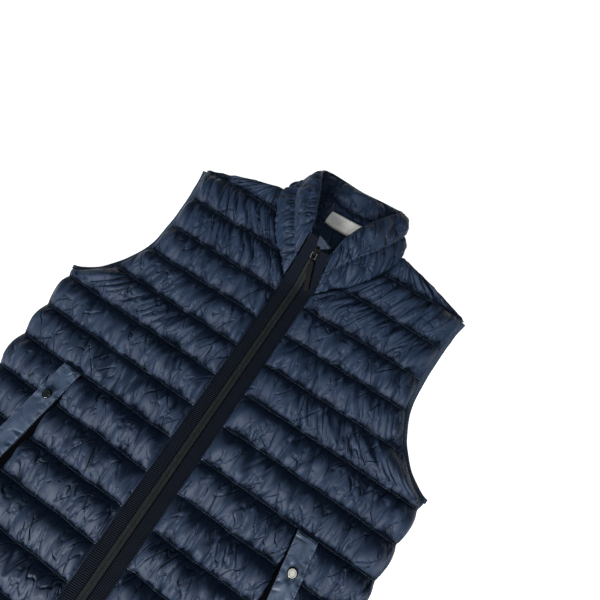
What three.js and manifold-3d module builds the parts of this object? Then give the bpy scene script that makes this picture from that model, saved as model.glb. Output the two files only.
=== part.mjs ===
// A sleeveless padded vest, laid flat on its back with the zip closed and the collar up.
// Lengths are in millimetres. +Z is up from the surface it lies on, +Y runs from the hem to the collar
// and +X is the wearer's left. In the construction the underarms are at y = 0 and the zip is at x = 0.
// The finished group is then moved so that the middle of its base is the origin.
import * as THREE from "three";
import { mergeVertices } from "three/addons/utils/BufferGeometryUtils.js";
import Module from "manifold-3d";

// Driving sizes of the cut
const CHEST_HALF = 265; // half the width at the underarms
const HEM_HALF = 253;
const HEM_Y = -422; // lower edge of the padded panels
const SIDE_CURVE = 3.3; // how late the side widens from the hem to the underarm
const SHOULDER = { tipX: 211, tipY: 213, neckX: 95, neckY: 249.5 };
const ARMHOLE = { waistX: 201, waistY: 90, power: 1.6, flare: 10, flarePower: 2.6, peek: 5 };
const BINDING = 6; // width of the binding round armholes and hem
const NECK_FRONT_Y = 134;
const NECK_BACK_Y = 236;
const TAPE_HALF = 21.5; // half the width of the two zip tapes together
const GAP = 0.3; // between pieces at a seam
const LAYER_GAP = 0.6; // between the back and the fronts that lie on it
const EDGE_LAYER_GAP = 1.5; // the same at the panels' edges

// Quilting: stitch rows every pitch, a little wider above the chest
const ROW_Y = 116; // the highest row that runs right across to the zip
const ROW_PITCH = 44;
const YOKE_PITCH = 48.5;
const LOWEST_ROW = 12;
const YOKE_ROWS = 2; // stitch rows above the chest
const SHOULDER_MARGIN = 4; // the top channel runs this far past the neck end of the shoulder
const SCALLOP = 3; // how far a filled channel stands out past its stitch rows at the side
const PUFF = 11; // height of a channel's crest above its stitch rows
const PUFF_POWER = 2.2; // how full the crest is between its rows
const PUFF_UNEVEN = 0.1; // share by which the crests differ in height
const FULL_WIDTH = 40; // a channel narrower than this has a lower crest
const PUFF_ROUND = 18; // over this distance a channel rounds down to a panel's edge
const SEAM_WALL = 3; // padded cloth where it is stitched through
const BACK_WALL = 9; // the back, pressed flat between the fronts and the surface
const BACK_EDGE = 3.2;
const BACK_ROUND = 25;

// Pockets: a slanting strip beside the opening
const POCKET = { topRow: 5, bottomY: -258, innerX: 155.5, slant: 0.113, width: 26, rise: 5, groove: 4 };
const WELT_WALL = 2;
const SNAP = { radius: 5.8, height: 2, y: -143 };

// Front of the collar and the zip
const COLLAR_FOOT = { y: 136.6, z: 11.6 };
const COLLAR_SLOPE = THREE.MathUtils.degToRad(34.5); // of the collar's front edges above the surface
const COLLAR_WALL = 3;
const COLLAR_STATIONS = 45;
const TAPE_WALL = 1.4;
const TAPE_TENT = 1.6; // the chain lifts the middle of the tapes by this much
const SLIDER_Y = 180;
const TAB = { length: 44, width: 7, wall: 2.2, corner: 0.8, neck: 6 };
const TAB_SKEW = THREE.MathUtils.degToRad(16); // the tab hangs aslant on its ring
const PULL_PITCH = 0.041; // radians between the ring and the slope of the tapes

// The collar's middle surface, section by section from the wearer's left front edge round the back:
// the seam at the neck, the stitch row half way up and the rim, then how far the filling stands out
// on the outer side and on the inner side.
const COLLAR_SECTIONS = [
  { foot: [23.2, 137.3, 12], row: [20.8, 160, 27.7], rim: [18.5, 184, 44.2], out: 6, inside: 0 },
  { foot: [35.6, 155, 11.8], row: [34, 185, 32], rim: [22, 208, 49], out: 8, inside: 0 },
  { foot: [54.6, 171, 11.5], row: [47, 206, 33], rim: [30, 230, 50], out: 9, inside: 0 },
  { foot: [73.8, 196, 11.5], row: [62, 229, 31], rim: [41, 252, 47], out: 9, inside: 0 },
  { foot: [87.6, 223, 10.5], row: [74, 251, 26], rim: [53, 274, 40], out: 7, inside: 0 },
  { foot: [92.5, 252.2, 8], row: [81, 275, 15], rim: [63, 299, 24], out: 3, inside: 0 },
  { foot: [78, 247.2, 4.2], row: [70, 277, 6], rim: [54, 306, 12], out: 0, inside: 4 },
  { foot: [45, 240.6, 4], row: [40, 274, 6], rim: [31, 305, 12], out: 0, inside: 7 },
  { foot: [0, 237.2, 4], row: [0, 272, 6], rim: [0, 303, 12], out: 0, inside: 7 },
  { foot: [-45, 240.6, 4], row: [-40, 274, 6], rim: [-31, 305, 12], out: 0, inside: 7 },
  { foot: [-78, 247.2, 4.2], row: [-70, 277, 6], rim: [-54, 306, 12], out: 0, inside: 4 },
  { foot: [-91.5, 252.2, 8], row: [-77, 273, 15], rim: [-61, 296, 24], out: 2, inside: 0 },
  { foot: [-87.2, 223, 10.5], row: [-72, 249, 25], rim: [-53, 274, 40], out: 5, inside: 0 },
  { foot: [-73.8, 196, 11.5], row: [-62, 227, 31], rim: [-42, 252, 47], out: 9, inside: 0 },
  { foot: [-54.6, 171, 11.5], row: [-46, 201, 33], rim: [-32, 230, 50], out: 9, inside: 0 },
  { foot: [-35.6, 155, 11.8], row: [-33, 180, 32], rim: [-24, 212, 51], out: 8, inside: 0 },
  { foot: [-23.2, 137.3, 12], row: [-20.8, 163, 29.7], rim: [-19.5, 195, 51.7], out: 6, inside: 0 },
];

const NAVY = { color: 0x1a2136, roughness: 0.42, metalness: 0 };
const SATIN = { color: 0x34496e, roughness: 0.34, metalness: 0 };
const BINDING_CLOTH = { color: 0x202a44, roughness: 0.5, metalness: 0 };
const TAPE_CLOTH = { color: 0x15161b, roughness: 0.85, metalness: 0 };
const LABEL_CLOTH = { color: 0xe6e1d0, roughness: 0.8, metalness: 0 };
const STEEL = { color: 0x9a9da3, roughness: 0.35, metalness: 1 };
const BLACK_PLASTIC = { color: 0x101114, roughness: 0.5, metalness: 0 };

const vest = new THREE.Group();
const vector = (x, y, z) => new THREE.Vector3(x, y, z);
const clamp01 = (t) => Math.min(1, Math.max(0, t));
const mix = THREE.MathUtils.lerp;

function addPiece(parent, name, geometry, finish) {
  const mesh = new THREE.Mesh(geometry, new THREE.MeshStandardMaterial(finish));
  mesh.name = name;
  parent.add(mesh);
  return mesh;
}

// A quarter circle: 0 at the edge and 1 from there on
const quarterRound = (t) => Math.sqrt(1 - (1 - clamp01(t)) ** 2);

// Outline of the cut, for x at or above 0
function sideX(y) {
  const share = clamp01((y - HEM_Y) / -HEM_Y);
  return mix(HEM_HALF, CHEST_HALF, share ** SIDE_CURVE);
}

function armholeX(y, inset) {
  const { waistX, waistY, power, flare, flarePower } = ARMHOLE;
  if (y >= waistY) {
    const up = (y - waistY) / (SHOULDER.tipY - waistY);
    return waistX - inset + flare * up ** flarePower;
  }
  const reach = CHEST_HALF - waistX + inset;
  const fall = clamp01((waistY - y) / (waistY + inset));
  return CHEST_HALF - reach * (1 - fall ** power) ** (1 / power);
}

// Room below the armhole's lower corner
function armholeRoom(x, y, inset) {
  const { waistX, waistY, power } = ARMHOLE;
  if (x <= waistX - inset || y >= waistY) return Infinity;
  const along = clamp01((CHEST_HALF - x) / (CHEST_HALF - waistX + inset));
  return waistY - (waistY + inset) * (1 - along ** power) ** (1 / power) - y;
}

const shoulderSlope = (SHOULDER.neckY - SHOULDER.tipY) / (SHOULDER.tipX - SHOULDER.neckX);
const shoulderY = (x) => SHOULDER.neckY - shoulderSlope * (x - SHOULDER.neckX);
const shoulderX = (y) => SHOULDER.neckX + (SHOULDER.neckY - y) / shoulderSlope;
const neckDepth = SHOULDER.neckY - NECK_FRONT_Y;
const panelEdge = TAPE_HALF + GAP;

function neckX(y) {
  const up = clamp01((y - NECK_FRONT_Y) / neckDepth);
  return mix(panelEdge, SHOULDER.neckX, Math.sin((Math.PI / 2) * up));
}

function neckY(x) {
  const out = clamp01((x - panelEdge) / (SHOULDER.neckX - panelEdge));
  return NECK_FRONT_Y + neckDepth * (2 / Math.PI) * Math.asin(out);
}

const backNeckY = (x) => NECK_BACK_Y + (SHOULDER.neckY - NECK_BACK_Y) * (x / SHOULDER.neckX) ** 2;
const backTopY = (x) => (Math.abs(x) < SHOULDER.neckX ? backNeckY(x) : shoulderY(Math.abs(x)));
const frontInset = (y) => BINDING + ARMHOLE.peek * Math.sin(Math.PI * clamp01(y / SHOULDER.tipY));

// Stitch rows, from the hem up
const rowY = (k) => ROW_Y - k * (k < 0 ? YOKE_PITCH : ROW_PITCH);
const stitchRows = [HEM_Y];
for (let k = LOWEST_ROW; k >= -YOKE_ROWS; k--) stitchRows.push(rowY(k));
stitchRows.push(SHOULDER.neckY + SHOULDER_MARGIN);

// Share of the crest's height that a channel has at y, and the channel's number
function channelAt(y) {
  let index = 0;
  while (index < stitchRows.length - 2 && y > stitchRows[index + 1]) index++;
  const width = stitchRows[index + 1] - stitchRows[index];
  const across = (y - stitchRows[index]) / width;
  const arch = 1 - Math.abs(2 * across - 1) ** PUFF_POWER;
  return { index, arch: clamp01(arch) * Math.min(1, width / FULL_WIDTH) };
}

function panelSide(y, inset) {
  if (y < -inset) return sideX(y) - SCALLOP * (1 - channelAt(y).arch);
  if (y <= SHOULDER.tipY) return armholeX(y, inset);
  return shoulderX(y);
}

// Thickness of the back at a point: thin at its edges
function backTop(x, y) {
  const across = Math.abs(x);
  const room = Math.min(
    panelSide(y, BINDING) - across,
    armholeRoom(across, y, BINDING),
    backTopY(x) - y,
    y - HEM_Y,
  );
  return BACK_EDGE + (BACK_WALL - BACK_EDGE) * quarterRound(room / BACK_ROUND);
}

// Rows of points: each channel has a foot and three rows of crest, and the armhole's corner has more
const CORNER_TURNS = [12, 21, 31]; // degrees round the corner
const ROW_ROOM = 2.5; // a row of points is left out within this distance of a fixed one

function pointRows(stepsPerChannel, highest) {
  const rows = [-BINDING, SHOULDER.tipY, NECK_FRONT_Y, highest];
  for (const degrees of CORNER_TURNS) {
    const turn = Math.cos(THREE.MathUtils.degToRad(degrees)) ** (2 / ARMHOLE.power);
    rows.push(ARMHOLE.waistY - (ARMHOLE.waistY + BINDING) * turn);
  }
  const fixed = rows.length;
  for (let i = 0; i < stitchRows.length - 1; i++) {
    for (let step = 0; step < stepsPerChannel; step++) {
      const y = mix(stitchRows[i], stitchRows[i + 1], step / stepsPerChannel);
      const near = rows.slice(0, fixed).some((other) => Math.abs(other - y) < ROW_ROOM);
      if (y < highest && !near) rows.push(y);
    }
  }
  return rows.sort((a, b) => a - b);
}

// One closed body from two grids of points, one row list for each side of a wall
function closedWall(top, bottom) {
  const rows = top.length;
  const columns = top[0].length;
  const points = [...top.flat(), ...bottom.flat()];
  const under = rows * columns;
  const at = (r, c) => r * columns + c;
  const faces = [];
  const quad = (a, b, c, d) => faces.push(a, b, c, a, c, d);
  for (let r = 0; r < rows - 1; r++) {
    for (let c = 0; c < columns - 1; c++) {
      quad(at(r, c), at(r, c + 1), at(r + 1, c + 1), at(r + 1, c));
      quad(under + at(r, c), under + at(r + 1, c), under + at(r + 1, c + 1), under + at(r, c + 1));
    }
  }
  const rim = [];
  for (let c = 0; c < columns - 1; c++) rim.push(at(0, c));
  for (let r = 0; r < rows - 1; r++) rim.push(at(r, columns - 1));
  for (let c = columns - 1; c > 0; c--) rim.push(at(rows - 1, c));
  for (let r = rows - 1; r > 0; r--) rim.push(at(r, 0));
  rim.forEach((here, i) => {
    const next = rim[(i + 1) % rim.length];
    quad(here, under + here, under + next, next);
  });
  let volume = 0;
  for (let i = 0; i < faces.length; i += 3) {
    const [a, b, c] = [points[faces[i]], points[faces[i + 1]], points[faces[i + 2]]];
    volume += a.dot(b.clone().cross(c));
  }
  if (volume < 0) faces.reverse();
  return new THREE.BufferGeometry().setFromPoints(points).setIndex(faces);
}

// Fronts
const NECK_END = 1.5; // the last row of points lies this far below the shoulder's neck end
const FRONT_STEPS = 4; // rows of points in a channel of the fronts
const BACK_STEPS = 2; // and of the back
const EDGE_COLUMNS = { close: 4, far: 14 }; // columns of points beside an edge
const FULL_FRONT = 90; // on a front narrower than this the columns draw together
const CHEST_COLUMNS = [0.36, 0.7]; // between the zip and the pocket
const frontRows = pointRows(FRONT_STEPS, SHOULDER.neckY - NECK_END);

// x of each column of a front's points: three at each edge, one at each edge of the pocket strip
function frontColumns(y) {
  const inner = y < NECK_FRONT_Y ? panelEdge : neckX(y);
  const outer = panelSide(y, frontInset(y));
  const width = outer - inner;
  const near = Math.min(1, width / FULL_FRONT);
  const topWidth = sideX(pocketTopY) - panelEdge;
  let strip = POCKET.innerX + (pocketTopY - y) * POCKET.slant;
  let stripWidth = POCKET.width;
  if (y > pocketTopY) {
    strip = inner + ((POCKET.innerX - panelEdge) / topWidth) * width;
    stripWidth = (POCKET.width / topWidth) * width;
  }
  const groove = strip - POCKET.groove * near;
  const first = inner + EDGE_COLUMNS.far * near;
  const last = outer - EDGE_COLUMNS.far * near;
  return [
    inner,
    inner + EDGE_COLUMNS.close * near,
    first,
    ...CHEST_COLUMNS.map((share) => mix(first, groove, share)),
    groove,
    strip,
    strip + stripWidth / 2,
    strip + stripWidth,
    mix(strip + stripWidth, last, 0.5),
    last,
    outer - EDGE_COLUMNS.close * near,
    outer,
  ];
}
const STRIP_COLUMNS = [6, 7, 8];
const GROOVE_COLUMN = 5;
const ROUNDING = 0.1;
const pocketTopY = rowY(POCKET.topRow);
const inPocket = (y) => y <= pocketTopY + ROUNDING && y >= POCKET.bottomY - ROUNDING;

// Height of the filling above the stitched wall
function frontRise(x, y, column) {
  if (inPocket(y) && column === GROOVE_COLUMN) return 0;
  if (inPocket(y) && STRIP_COLUMNS.includes(column)) return POCKET.rise;
  const inner = y < NECK_FRONT_Y ? panelEdge : neckX(y);
  const room = Math.min(
    x - inner,
    panelSide(y, frontInset(y)) - x,
    x < SHOULDER.neckX ? neckY(x) - y : shoulderY(x) - y,
    armholeRoom(x, y, BINDING),
    y - HEM_Y,
  );
  const { index, arch } = channelAt(y);
  const uneven = 1 + PUFF_UNEVEN * Math.sin(2.1 * index + 1.3 * column);
  return PUFF * uneven * arch * quarterRound(room / PUFF_ROUND);
}

// Underneath, a front follows the back with a gap that grows where the back thins to its edge
function frontUnder(x, y) {
  const level = backTop(x, y);
  const thinned = (BACK_WALL - level) / (BACK_WALL - BACK_EDGE);
  return level + mix(LAYER_GAP, EDGE_LAYER_GAP, thinned);
}
const frontTop = (x, y, column) => frontUnder(x, y) + SEAM_WALL + frontRise(x, y, column);

function frontGrid(side, height) {
  return frontRows.map((y) =>
    frontColumns(y).map((x, column) => vector(side * x, y, height(x, y, column))),
  );
}

function makeFront(name, side) {
  addPiece(vest, name, closedWall(frontGrid(side, frontTop), frontGrid(side, frontUnder)), NAVY);
}

// Pocket strips: the panel's own points, moved out
function makeWelt(name, side) {
  const rows = frontRows.filter(inPocket);
  const lifted = (rise) =>
    rows.map((y) =>
      STRIP_COLUMNS.map((column) => {
        const x = frontColumns(y)[column];
        return vector(side * x, y, frontTop(x, y, column) + rise);
      }),
    );
  addPiece(vest, name, closedWall(lifted(GAP + WELT_WALL), lifted(GAP)), SATIN);
}

// A snap's cap, as shares of its radius and height: a raised rim round a dished middle
const SNAP_PROFILE = [
  [0, 0],
  [1, 0],
  [1, 0.45],
  [0.82, 1],
  [0.7, 0.75],
  [0, 0.7],
];

function makeSnap(name, side) {
  const { radius, height, y } = SNAP;
  const x = frontColumns(y)[STRIP_COLUMNS[1]];
  const outline = SNAP_PROFILE.map(([out, up]) => new THREE.Vector2(out * radius, up * height));
  const disc = new THREE.LatheGeometry(outline, 20).rotateX(Math.PI / 2);
  const mesh = addPiece(vest, name, disc, STEEL);
  const seat = frontTop(x, y, STRIP_COLUMNS[1]) + GAP + WELT_WALL + GAP;
  mesh.position.set(side * x, y, seat);
}

// Back: flat underneath, plain on top
const BLEND_Y = 180; // above this the rows bend to the shoulders and the neck
const BLEND_STEPS = [0.35, 0.7, 0.9, 1];

function backColumns() {
  const reach = armholeX(BLEND_Y, BINDING);
  const neckEnd = SHOULDER.neckX / (SHOULDER.tipX - BINDING);
  const far = 1 - EDGE_COLUMNS.far / reach;
  const close = 1 - EDGE_COLUMNS.close / reach;
  const right = [0, neckEnd / 2, neckEnd, mix(neckEnd, far, 0.6), far, close, 1];
  return [...right.slice(1).reverse().map((share) => -share), ...right];
}

function backOutline() {
  const columns = backColumns();
  const rows = pointRows(BACK_STEPS, BLEND_Y).filter((y) => y <= BLEND_Y);
  const flat = rows.map((y) => columns.map((share) => vector(share * panelSide(y, BINDING), y, 0)));
  for (const up of BLEND_STEPS) {
    flat.push(
      columns.map((share) => {
        const topX = share * (SHOULDER.tipX - BINDING);
        const lowX = share * armholeX(BLEND_Y, BINDING);
        return vector(mix(lowX, topX, up), mix(BLEND_Y, backTopY(topX), up), 0);
      }),
    );
  }
  return flat;
}

const backGrid = backOutline();

function makeBack() {
  const raised = backGrid.map((row) => row.map(({ x, y }) => vector(x, y, backTop(x, y))));
  addPiece(vest, "back_panel", closedWall(raised, backGrid), NAVY);
}

// Bindings: a strip beside a panel's edge, from the same points
function sideNormals(points) {
  return points.map((point, i) => {
    const before = points[Math.max(0, i - 1)];
    const after = points[Math.min(points.length - 1, i + 1)];
    return vector(after.y - before.y, before.x - after.x, 0).normalize();
  });
}

const BINDING_ROUND = 0.5; // the middle of a binding stands up by this much

function makeBinding(name, edge, wall, lift) {
  const normals = sideNormals(edge);
  const level = (share) =>
    edge.map((point, i) =>
      [GAP, BINDING / 2, BINDING].map((reach, column) => {
        const at = point.clone().addScaledVector(normals[i], reach);
        const round = column === 1 ? BINDING_ROUND : 0;
        return at.setZ(lift(at.x, at.y) + share * wall + (share ? round : 0));
      }),
    );
  addPiece(vest, name, closedWall(level(1), level(0)), BINDING_CLOTH);
}

const besideArmhole = ({ y }) => y >= -BINDING && y <= SHOULDER.tipY;

function makeBindings() {
  const onSurface = () => 0;
  const underFront = (x, y) => frontUnder(Math.abs(x), Math.max(y, HEM_Y));
  const frontEdge = frontRows.map((y) => vector(panelSide(y, frontInset(y)), y, 0)).filter(besideArmhole);
  const backEdge = backGrid.map((row) => row[row.length - 1]).filter(besideArmhole);
  const frontHem = frontColumns(HEM_Y).map((x) => vector(x, HEM_Y, 0));
  for (const [side, word] of [
    [1, "left"],
    [-1, "right"],
  ]) {
    const placed = (points) => points.map(({ x, y }) => vector(side * x, y, 0));
    const upwards = (points) => (side > 0 ? placed(points) : placed(points).reverse());
    makeBinding("armhole_binding_front_" + word, upwards(frontEdge), SEAM_WALL, underFront);
    makeBinding("armhole_binding_back_" + word, upwards(backEdge), BACK_EDGE, onSurface);
    makeBinding("hem_binding_front_" + word, upwards(frontHem), SEAM_WALL, underFront);
  }
  makeBinding("hem_binding_back", backGrid[0], BACK_EDGE, onSurface);
}

// Collar: one padded wall that runs from front edge to front edge round the back of the neck
function sectionCurve(key) {
  const points = COLLAR_SECTIONS.map((section) => vector(...section[key]));
  return new THREE.CatmullRomCurve3(points, false, "centripetal");
}

function sectionValue(key, at) {
  const place = at * (COLLAR_SECTIONS.length - 1);
  const low = Math.min(Math.floor(place), COLLAR_SECTIONS.length - 2);
  return mix(COLLAR_SECTIONS[low][key], COLLAR_SECTIONS[low + 1][key], place - low);
}

const collarCurves = { foot: sectionCurve("foot"), row: sectionCurve("row"), rim: sectionCurve("rim") };
const BAFFLE_STEPS = [0, 0.14, 0.5, 0.86];

// The collar's middle surface and its outward direction, at a station and a height from 0 to 2 baffles
function collarPoint(at, height) {
  const [foot, row, rim] = ["foot", "row", "rim"].map((key) => collarCurves[key].getPoint(at));
  const lower = height < 1;
  const place = lower ? foot.clone().lerp(row, height) : row.clone().lerp(rim, height - 1);
  const ahead = collarCurves.row.getPoint(Math.min(1, at + 0.005));
  const behind = collarCurves.row.getPoint(Math.max(0, at - 0.005));
  const upward = lower ? row.clone().sub(foot) : rim.clone().sub(row);
  const outward = ahead.sub(behind).cross(upward).normalize();
  return { place, outward };
}

function collarFace(stations, heights, offset) {
  return heights.map((height) =>
    stations.map((at) => {
      const { place, outward } = collarPoint(at, height);
      const across = height % 1;
      const arch = quarterRound(2 * Math.min(across, 1 - across));
      return place.addScaledVector(outward, offset(at, arch));
    }),
  );
}

const collarStations = [...Array(COLLAR_STATIONS).keys()].map((i) => i / (COLLAR_STATIONS - 1));
const collarHeights = [...BAFFLE_STEPS, ...BAFFLE_STEPS.map((step) => step + 1), 2];
const COLLAR_END = 1 / 16; // share of the collar's length that rounds down to each front edge
const endRound = (at) => quarterRound(Math.min(at, 1 - at) / COLLAR_END);
const collarOuter = (at, arch) => COLLAR_WALL / 2 + sectionValue("out", at) * arch * endRound(at);
const collarInner = (at, arch) => -COLLAR_WALL / 2 - sectionValue("inside", at) * arch;

function makeCollar() {
  const outer = collarFace(collarStations, collarHeights, collarOuter);
  const inner = collarFace(collarStations, collarHeights, collarInner);
  addPiece(vest, "collar", closedWall(outer, inner), NAVY);
}

// Neck label: the collar's own inner points at the back, moved out
const LABEL = { stations: [20, 23], heights: [0, 0.14, 0.5], wall: 0.8 };

function makeLabel() {
  const stations = collarStations.slice(LABEL.stations[0], LABEL.stations[1] + 1);
  const lifted = (rise) =>
    collarFace(stations, LABEL.heights, (at, arch) => collarInner(at, arch) - rise);
  const wall = closedWall(lifted(GAP + LABEL.wall), lifted(GAP));
  addPiece(vest, "neck_label", wall, LABEL_CLOTH);
}

// Zip: height of the tapes' edges at y, flat on the body and sloping up the collar
const slopeRise = Math.tan(COLLAR_SLOPE);

function tapeEdgeZ(y) {
  if (y >= COLLAR_FOOT.y) return COLLAR_FOOT.z + (y - COLLAR_FOOT.y) * slopeRise;
  return frontUnder(panelEdge, y) + SEAM_WALL / 2;
}

const hemTapeRows = [-BINDING, 0, 5, 12, 25].map((up) => HEM_Y + up);
const tapeRows = [...hemTapeRows, -300, -200, -100, 0, 90, 128];
const collarTapeRows = [COLLAR_FOOT.y, 150, 165, SLIDER_Y];

// Upper ends of the tapes, past the slider: how far the inner edge has turned away from the other tape
const TAPE_ENDS = {
  left: { topY: 183, rimX: 17.2, open: 1.5 },
  right: { topY: 194, rimX: 18.2, open: 7 },
};

// Rows of one tape: y, then x of its inner and outer edge
function tapeSections(side) {
  const { topY, rimX, open } = side > 0 ? TAPE_ENDS.left : TAPE_ENDS.right;
  const body = tapeRows.map((y) => [y, GAP / 2, TAPE_HALF]);
  const climb = collarTapeRows.map((y) => {
    const up = (y - COLLAR_FOOT.y) / (topY - COLLAR_FOOT.y);
    return [y, GAP / 2, mix(TAPE_HALF, rimX, up)];
  });
  return [...body, ...climb, [topY, GAP / 2 + open, rimX]];
}

const TAPE_COLUMNS = [0, 0.35, 0.7, 1];

function tapeFace(side, level) {
  return tapeSections(side).map(([y, inner, outer]) =>
    TAPE_COLUMNS.map((across) => {
      const x = mix(inner, outer, across);
      const lift = TAPE_TENT * (1 - across) + level;
      const tilt = y > COLLAR_FOOT.y ? COLLAR_SLOPE : 0;
      const z = tapeEdgeZ(y) + lift * Math.cos(tilt);
      return vector(side * x, y - lift * Math.sin(tilt), z);
    }),
  );
}

function makeTape(name, side) {
  const wall = closedWall(tapeFace(side, TAPE_WALL / 2), tapeFace(side, -TAPE_WALL / 2));
  addPiece(vest, name, wall, TAPE_CLOTH);
}

// The closed coil: a narrow strip under the meeting edges of the tapes, up to the slider
const CHAIN = { half: 3, wall: 1.2 };

function makeChain() {
  const rows = [...tapeRows.slice(2), ...collarTapeRows];
  const face = (level) =>
    rows.map((y) =>
      [-CHAIN.half, 0, CHAIN.half].map((x) => {
        const tent = TAPE_TENT * (1 - CHAIN.half / TAPE_HALF);
        const lift = tent - TAPE_WALL / 2 - GAP - level;
        const tilt = y > COLLAR_FOOT.y ? COLLAR_SLOPE : 0;
        return vector(x, y - lift * Math.sin(tilt), tapeEdgeZ(y) + lift * Math.cos(tilt));
      }),
    );
  addPiece(vest, "zip_chain", closedWall(face(0), face(CHAIN.wall)), BLACK_PLASTIC);
}

// Slider, ring and pull tab stand on the sloping tapes: local +Y runs up the zip, local +Z away from it
const sliderFrame = new THREE.Group();
sliderFrame.rotation.x = COLLAR_SLOPE;
const sliderLift = TAPE_TENT + TAPE_WALL / 2;
sliderFrame.position.set(
  0,
  SLIDER_Y - sliderLift * Math.sin(COLLAR_SLOPE),
  tapeEdgeZ(SLIDER_Y) + sliderLift * Math.cos(COLLAR_SLOPE),
);
vest.add(sliderFrame);

const wasm = await Module();
wasm.setup();

function solid(geometry) {
  const plain = geometry.clone();
  plain.deleteAttribute("normal");
  plain.deleteAttribute("uv");
  const merged = mergeVertices(plain);
  const vertProperties = merged.attributes.position.array;
  const triVerts = new Uint32Array(merged.index.array);
  return new wasm.Manifold(new wasm.Mesh({ numProp: 3, vertProperties, triVerts }));
}

function geometryOf(made) {
  const { vertProperties, triVerts } = made.getMesh();
  const position = new THREE.BufferAttribute(Float32Array.from(vertProperties), 3);
  const geometry = new THREE.BufferGeometry().setAttribute("position", position);
  return geometry.setIndex([...triVerts]);
}

// A flat outline in x and y, cut from a plate that is centred on its own middle plane
function plate(outline, wall, holes = []) {
  const shape = new THREE.Shape(outline.map(([x, y]) => new THREE.Vector2(x, y)));
  shape.holes = holes.map((hole) => new THREE.Path(hole.map(([x, y]) => new THREE.Vector2(x, y))));
  const made = new THREE.ExtrudeGeometry(shape, { depth: wall, bevelEnabled: false });
  return made.translate(0, 0, -wall / 2);
}

const rectangle = (low, high) => [low, [high[0], low[1]], high, [low[0], high[1]]];
// Turns a plate whose outline was drawn in y and z so that its wall lies along x
const standUp = (geometry) => geometry.rotateY(Math.PI / 2).rotateX(Math.PI / 2);

const SLIDER = { half: 4.4, long: 6.5, low: 0.3, top: 2.6, archTop: 6, archWall: 1.1, archWide: 3 };
const SUNK = 0.4; // depth to which the arch is set into the plate
const BAR = { y: -2.6, z: 3.8, thick: 1.2 };
const RING = { half: 4, long: 8.2 };
const LOOP = { hole: 1.5, outer: 2.5, wide: 3.6 };

// The slider's plate, as shares of its half width and half length
const SLIDER_OUTLINE = [
  [-0.6, -1],
  [0.6, -1],
  [1, -0.3],
  [1, 0.7],
  [0.5, 1],
  [-0.5, 1],
  [-1, 0.7],
  [-1, -0.3],
];

function makeSlider() {
  const { half, long, low, top, archTop, archWall, archWide } = SLIDER;
  const outline = SLIDER_OUTLINE.map(([x, y]) => [x * half, y * long]);
  const body = plate(outline, top - low).translate(0, 0, (top + low) / 2);
  const archLong = long - archWall - SUNK;
  const arch = [
    [-archLong, top - SUNK],
    [archLong, top - SUNK],
    [archLong, archTop - 1],
    [archLong - 1, archTop],
    [1 - archLong, archTop],
    [-archLong, archTop - 1],
  ];
  const inside = rectangle([archWall - archLong, top], [archLong - archWall, archTop - archWall]);
  const bridge = standUp(plate(arch, archWide, [inside]));
  addPiece(sliderFrame, "zip_slider", geometryOf(solid(body).add(solid(bridge))), STEEL);
}

// The ring's bar passes through the slider's arch, and the tab's loop hangs on its other bar.
const pull = new THREE.Group();
pull.position.set(0, BAR.y, BAR.z);
pull.rotation.x = PULL_PITCH;
sliderFrame.add(pull);

function makeRing() {
  const inner = BAR.thick;
  const ringOutline = rectangle([-RING.half, -RING.long], [RING.half, 0]);
  const hole = rectangle([inner - RING.half, inner - RING.long], [RING.half - inner, -inner]);
  const ring = plate(ringOutline, BAR.thick, [hole.reverse()]).translate(0, BAR.thick / 2, 0);
  addPiece(pull, "pull_ring", ring, STEEL);
}

function makeTab() {
  const arc = (radius) => {
    const turns = [...Array(12).keys()].map((i) => (i / 12) * 2 * Math.PI);
    return turns.map((turn) => [radius * Math.cos(turn), radius * Math.sin(turn)]);
  };
  const loop = standUp(plate(arc(LOOP.outer), LOOP.wide, [arc(LOOP.hole).reverse()]));
  const start = -LOOP.hole - SUNK;
  const half = TAB.width / 2;
  const { length, corner, neck } = TAB;
  const rightSide = [
    [half - corner, -length],
    [half, corner - length],
    [half, start - neck],
    [LOOP.wide / 2, start],
  ];
  const leftSide = rightSide.map(([x, y]) => [-x, y]).reverse();
  const outline = [...leftSide, ...rightSide];
  const strap = plate(outline, TAB.wall);
  const tab = addPiece(pull, "pull_tab", geometryOf(solid(loop).add(solid(strap))), BLACK_PLASTIC);
  tab.position.set(0, BAR.thick / 2 - RING.long + BAR.thick / 2, 0);
  tab.rotation.z = TAB_SKEW;
}

// Satin corner behind the parted tapes, above the slider
const GARAGE = { low: -4, wall: 1 };

function makeGarage() {
  const outline = [
    [-9, 17],
    [-8, 6],
    [-5, -1],
    [4, -1],
    [13, 5],
    [12, 9],
    [2, 14],
  ];
  const corner = plate(outline, GARAGE.wall).translate(0, 0, GARAGE.low);
  addPiece(sliderFrame, "zip_garage", corner, SATIN);
}

// The retaining box at the foot of the zip: the tapes' own outer points, moved out
const ZIP_BOX = { half: 4.5, wall: 2.4, rows: 3 };

function makeZipBox() {
  const { half, wall, rows } = ZIP_BOX;
  const lifted = (rise) =>
    tapeRows.slice(0, rows).map((y) =>
      [-half, 0, half].map((x) => {
        const tent = TAPE_TENT * (1 - Math.abs(x) / TAPE_HALF);
        return vector(x, y, tapeEdgeZ(y) + tent + TAPE_WALL / 2 + rise);
      }),
    );
  addPiece(vest, "zip_box", closedWall(lifted(GAP + wall), lifted(GAP)), BLACK_PLASTIC);
}

makeBack();
makeFront("front_left", 1);
makeFront("front_right", -1);
makeBindings();
makeWelt("pocket_welt_left", 1);
makeWelt("pocket_welt_right", -1);
makeSnap("snap_left", 1);
makeSnap("snap_right", -1);
makeCollar();
makeLabel();
makeTape("zip_tape_left", 1);
makeTape("zip_tape_right", -1);
makeChain();
makeSlider();
makeRing();
makeTab();
makeGarage();
makeZipBox();

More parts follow.
